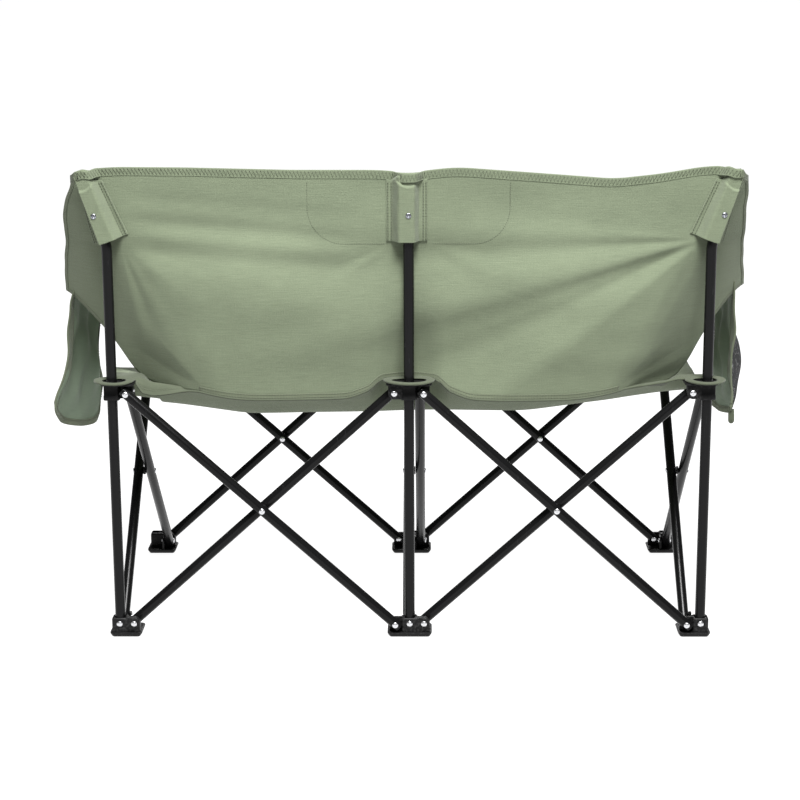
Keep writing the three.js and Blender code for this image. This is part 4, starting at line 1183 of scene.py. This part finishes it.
def flap_panel(side, along, down, stand=0.0):
    """A sheet hung from the arm's edge, its lower rear corner swung out or in, with a slow fold,
    small creases that grow downward, and round lower corners."""
    facts = SIDES[side]
    y = FLAP_REAR + (FLAP_FRONT - FLAP_REAR) * along
    swing = facts["flare"] * (0.2 * smooth(0, 0.2, down) + 0.8 * down**2.6) * (1 - 0.75 * along)
    fold = 7 * np.sin(4.5 * along + 0.8) * down
    crease = 3.6 * np.sin(17 * along + 5 * down) * np.sin(np.pi * np.clip(down, 0, 1)) ** 0.8
    crease += (2.9 * np.sin(8 * along - 14 * down + 1) + 1.5 * np.sin(19 * along + 21 * down)) * down
    slantwise = wrinkles(125 * along + 180 * down, 180 * down - 125 * along)
    crease += 1.5 * slantwise * smooth(0.05, 0.4, down)
    x = arm_outer(side, y) - 2 + swing + fold + crease + stand
    rounded = down**2 * np.sin(np.pi * np.clip(along, 0, 1)) ** 0.36
    foot = facts["slant"] * along + facts["belly"] * rounded
    fall = down * (FLAP_DROP - facts["short"] + foot)
    z = arm_height(y) - 2.5 - fall - 6 * np.sin(2.4 * along) * down
    return xyz(facts["sign"] * x, y + 6 * down * (1 - along), z)


def pocket_panel(side, along, down):
    """The net stands off the flap as a pouch: full below its mouth, sewn down at its sides and
    foot."""
    margin = MESH_INSET / (FLAP_FRONT - FLAP_REAR)
    bottom = 1 - MESH_INSET / FLAP_DROP
    round_it = np.sin(np.pi * along) ** 0.6
    fill = np.sin(np.pi * (0.06 + 0.94 * down**1.15)) ** 0.9
    stand = 2.4 + SIDES[side]["bulge"] * round_it * fill
    on_flap = margin + (1 - 2 * margin) * along, MESH_TOP + (bottom - MESH_TOP) * down
    return flap_panel(side, *on_flap, stand)


def add_net(name, body, finish, grid):
    """A net of diamonds: every other point of a grid is a knot, and each point left out is the
    middle of a hole, whose corners lie a share of the way out to the four knots round it."""
    rows, columns = grid.shape[:2]
    i, j = np.meshgrid(np.arange(1, rows - 1), np.arange(1, columns - 1), indexing="ij")
    i, j = i[(i + j) % 2 == 1], j[(i + j) % 2 == 1]
    knots = np.stack([grid[i - 1, j], grid[i, j + 1], grid[i + 1, j], grid[i, j - 1]], axis=1)
    middle = knots.mean(axis=1, keepdims=True)
    points = np.concatenate([knots, middle + MESH_HOLE * (knots - middle)], axis=1)
    round_hole = np.array([(0, 1, 5, 4), (1, 2, 6, 5), (2, 3, 7, 6), (3, 0, 4, 7)])
    faces = (8 * np.arange(len(points))[:, None, None] + round_hole).reshape(-1, 4)
    slots = np.zeros(len(faces), np.int32)
    net = add_mesh(name, body, [finish], points.reshape(-1, 3), faces, slots, ALL_SMOOTH)
    thicken(net, MESH_CORD)
    return net


def knitted_net():
    """Black polyester net: dull cords with a knitted ripple and a slight grey bloom."""
    net = Finish("knitted_net")
    knit = net.noise(1400, 2)
    bloom = net.noise(60, 3)
    return net.shade(
        base_color=net.mix(bloom * 0.8, (0.010, 0.010, 0.011, 1), (0.045, 0.046, 0.048, 1)),
        roughness=0.7 + 0.2 * knit,
        normal=net.bump(knit, 0.0002, 0.6),
    )


# The coated face's paler blue-green is partly the coat's own tint and partly painted highlight, raised for
# light that the flap's inner side does not catch.
coated = woven_cloth("coated_face_painted_highlight", (0.165, 0.212, 0.148, 1), (0.120, 0.157, 0.108, 1), coated=True)
net_black = knitted_net()
steps = np.linspace(0, 1, 90)
still = 0 * steps
midway = len(steps) // 2
for side, facts in SIDES.items():
    body = f"front_{side}_hub"
    grid = flap_panel(side, *shares(81, 81))
    if side == "left":
        grid = grid[::-1]
    flap = add_cloth(f"{side}_side_flap", body, [coated, sage], grid[:, ::-1], 1.4, finish_behind=1)
    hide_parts(f"{side}_flap")
    outward = np.array([facts["sign"], 0.0, 0.0])
    edges = {
        "rear": (flap_panel(side, still, steps), flap_panel(side, still + 0.1, steps), 20),
        "foot": (flap_panel(side, steps, still + 1), flap_panel(side, steps, still + 0.97), 12),
        "front": (flap_panel(side, still + 1, steps), flap_panel(side, still + 0.97, steps), 12),
    }
    trims, rows = [], []
    for name, (line, inner, width) in edges.items():
        inward = unit(inner - line)
        ahead = unit(np.gradient(line, axis=0))
        face = unit(np.cross(ahead, inward))
        face = face * np.sign(face @ outward)[:, None]
        strip = tape(line, inward, face, width, 1.5)
        if np.cross(ahead[midway], face[midway]) @ inward[midway] <= 0:
            strip = strip[::-1]
        trims.append(add_cloth(f"{side}_flap_{name}_tape", body, [sage_tape], strip, 0.8))
        sewn = line + inward * (width - 2.5)
        rows += [(sewn + face * 2, face), (sewn - face * 2, -face)]
    trims.append(add_stitching(f"{side}_flap_stitching", body, rows))

    grid = pocket_panel(side, *shares(95, 91))
    net = add_net(f"{side}_net_pocket", body, net_black, grid if side == "left" else grid[::-1])
    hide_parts(f"{side}_mesh_pocket")
    mouth = pocket_panel(side, steps, still)
    below = unit(pocket_panel(side, steps, still + 0.04) - mouth)
    strip = tape(mouth, below, outward, 5, 1.2)
    strip = strip if side == "left" else strip[::-1]
    band = add_cloth(f"{side}_pocket_band", body, [net_black], strip, TAPE_THICKNESS)
    for piece in [flap, net, band] + trims:
        gather_arm(piece)

# Hanging tab.
# A small ribbon of the dark binding with a round end. It is caught in the seam at the lower rear
# corner of the right flap and hangs free.
TAB_HALF = 6
TAB_LENGTH = 28
corner = flap_panel("right", np.array([0.07]), np.array([0.985]))[0]
share, across = shares(25, 9)
rounded = np.sqrt(1 - 0.98 * np.clip((share - 0.75) / 0.25, 0, 1) ** 2)
wide = (2 * across - 1) * (TAB_HALF * rounded)
hung = xyz(wide * 0.86, -wide * 0.5 - 5 * np.sin(2 * share), -TAB_LENGTH * share)
tab = add_cloth("right_flap_tab", "front_right_hub", [dark_binding_and_painted_shade], hung + corner)
gather_arm(tab)

# Studio.
# A pale glowing floor, and a large soft panel above and behind the camera, with a weaker one in
# front of the seat. The camera stands behind the loveseat and looks a little down on it.
FLOOR_REACH = 120.0
AIR_STRENGTH = 0.14
LIGHT_TARGET = (0, 0.2, 0.5)
LIGHTS = {
    "key_panel": ((0.4, -2.4, 4.9), 2.3, 850),
    "front_panel": ((0.5, 4.5, 3.6), 2.5, 240),
}
EYE = np.array([0.02953, -3.55179, 1.27863])
YAW, PITCH, ROLL = math.radians(-0.744), math.radians(13.068), math.radians(-0.2325)


def aimed(position, target, roll=0.0):
    """A placing whose -Z axis looks from a position to a target, rolled about that axis."""
    ahead = unit(np.subtract(target, position))
    right = unit(np.cross(ahead, (0, 0, 1)))
    over = np.cross(right, ahead)
    right_rolled = right * math.cos(roll) + over * math.sin(roll)
    over_rolled = over * math.cos(roll) - right * math.sin(roll)
    turn = np.eye(4)
    turn[:3, :3] = np.stack([right_rolled, over_rolled, -ahead], axis=1)
    turn[:3, 3] = position
    return Matrix(turn.tolist())


finish = Finish("studio_floor")
cloud = finish.noise(0.7, 2)
floor_pale = finish.shade(
    base_color=finish.mix(cloud, (0.095, 0.095, 0.095, 1), (0.105, 0.105, 0.105, 1)),
    roughness=0.9,
    emission_color=(1, 1, 1, 1),
    emission_strength=0.98,
)
floor_mesh = bpy.data.meshes.new("studio_floor")
corners = [(x * FLOOR_REACH, y * FLOOR_REACH, 0) for x, y in ((-1, -1), (1, -1), (1, 1), (-1, 1))]
floor_mesh.from_pydata(corners, [], [(0, 1, 2, 3)])
floor_mesh.materials.append(floor_pale)
placed("studio_floor", floor_mesh)

world = bpy.data.worlds.new("studio_air")
world.use_nodes = True
air = world.node_tree.nodes["Background"].inputs
air["Color"].default_value = (1, 1, 1, 1)
air["Strength"].default_value = AIR_STRENGTH
bpy.context.scene.world = world
bpy.context.scene.view_settings.view_transform = "Standard"

for name, (position, size, power) in LIGHTS.items():
    lamp = bpy.data.lights.new(name, "AREA")
    lamp.size = size
    lamp.energy = power
    placed(name, lamp).matrix_world = aimed(position, LIGHT_TARGET)

level = math.cos(PITCH)
look = np.array([math.sin(YAW) * level, math.cos(YAW) * level, -math.sin(PITCH)])
lens = bpy.data.cameras.new("camera")
lens.sensor_width = 36
lens.lens = 89.318
camera = placed("camera", lens)
camera.matrix_world = aimed(EYE, EYE + look, ROLL)
bpy.context.scene.camera = camera
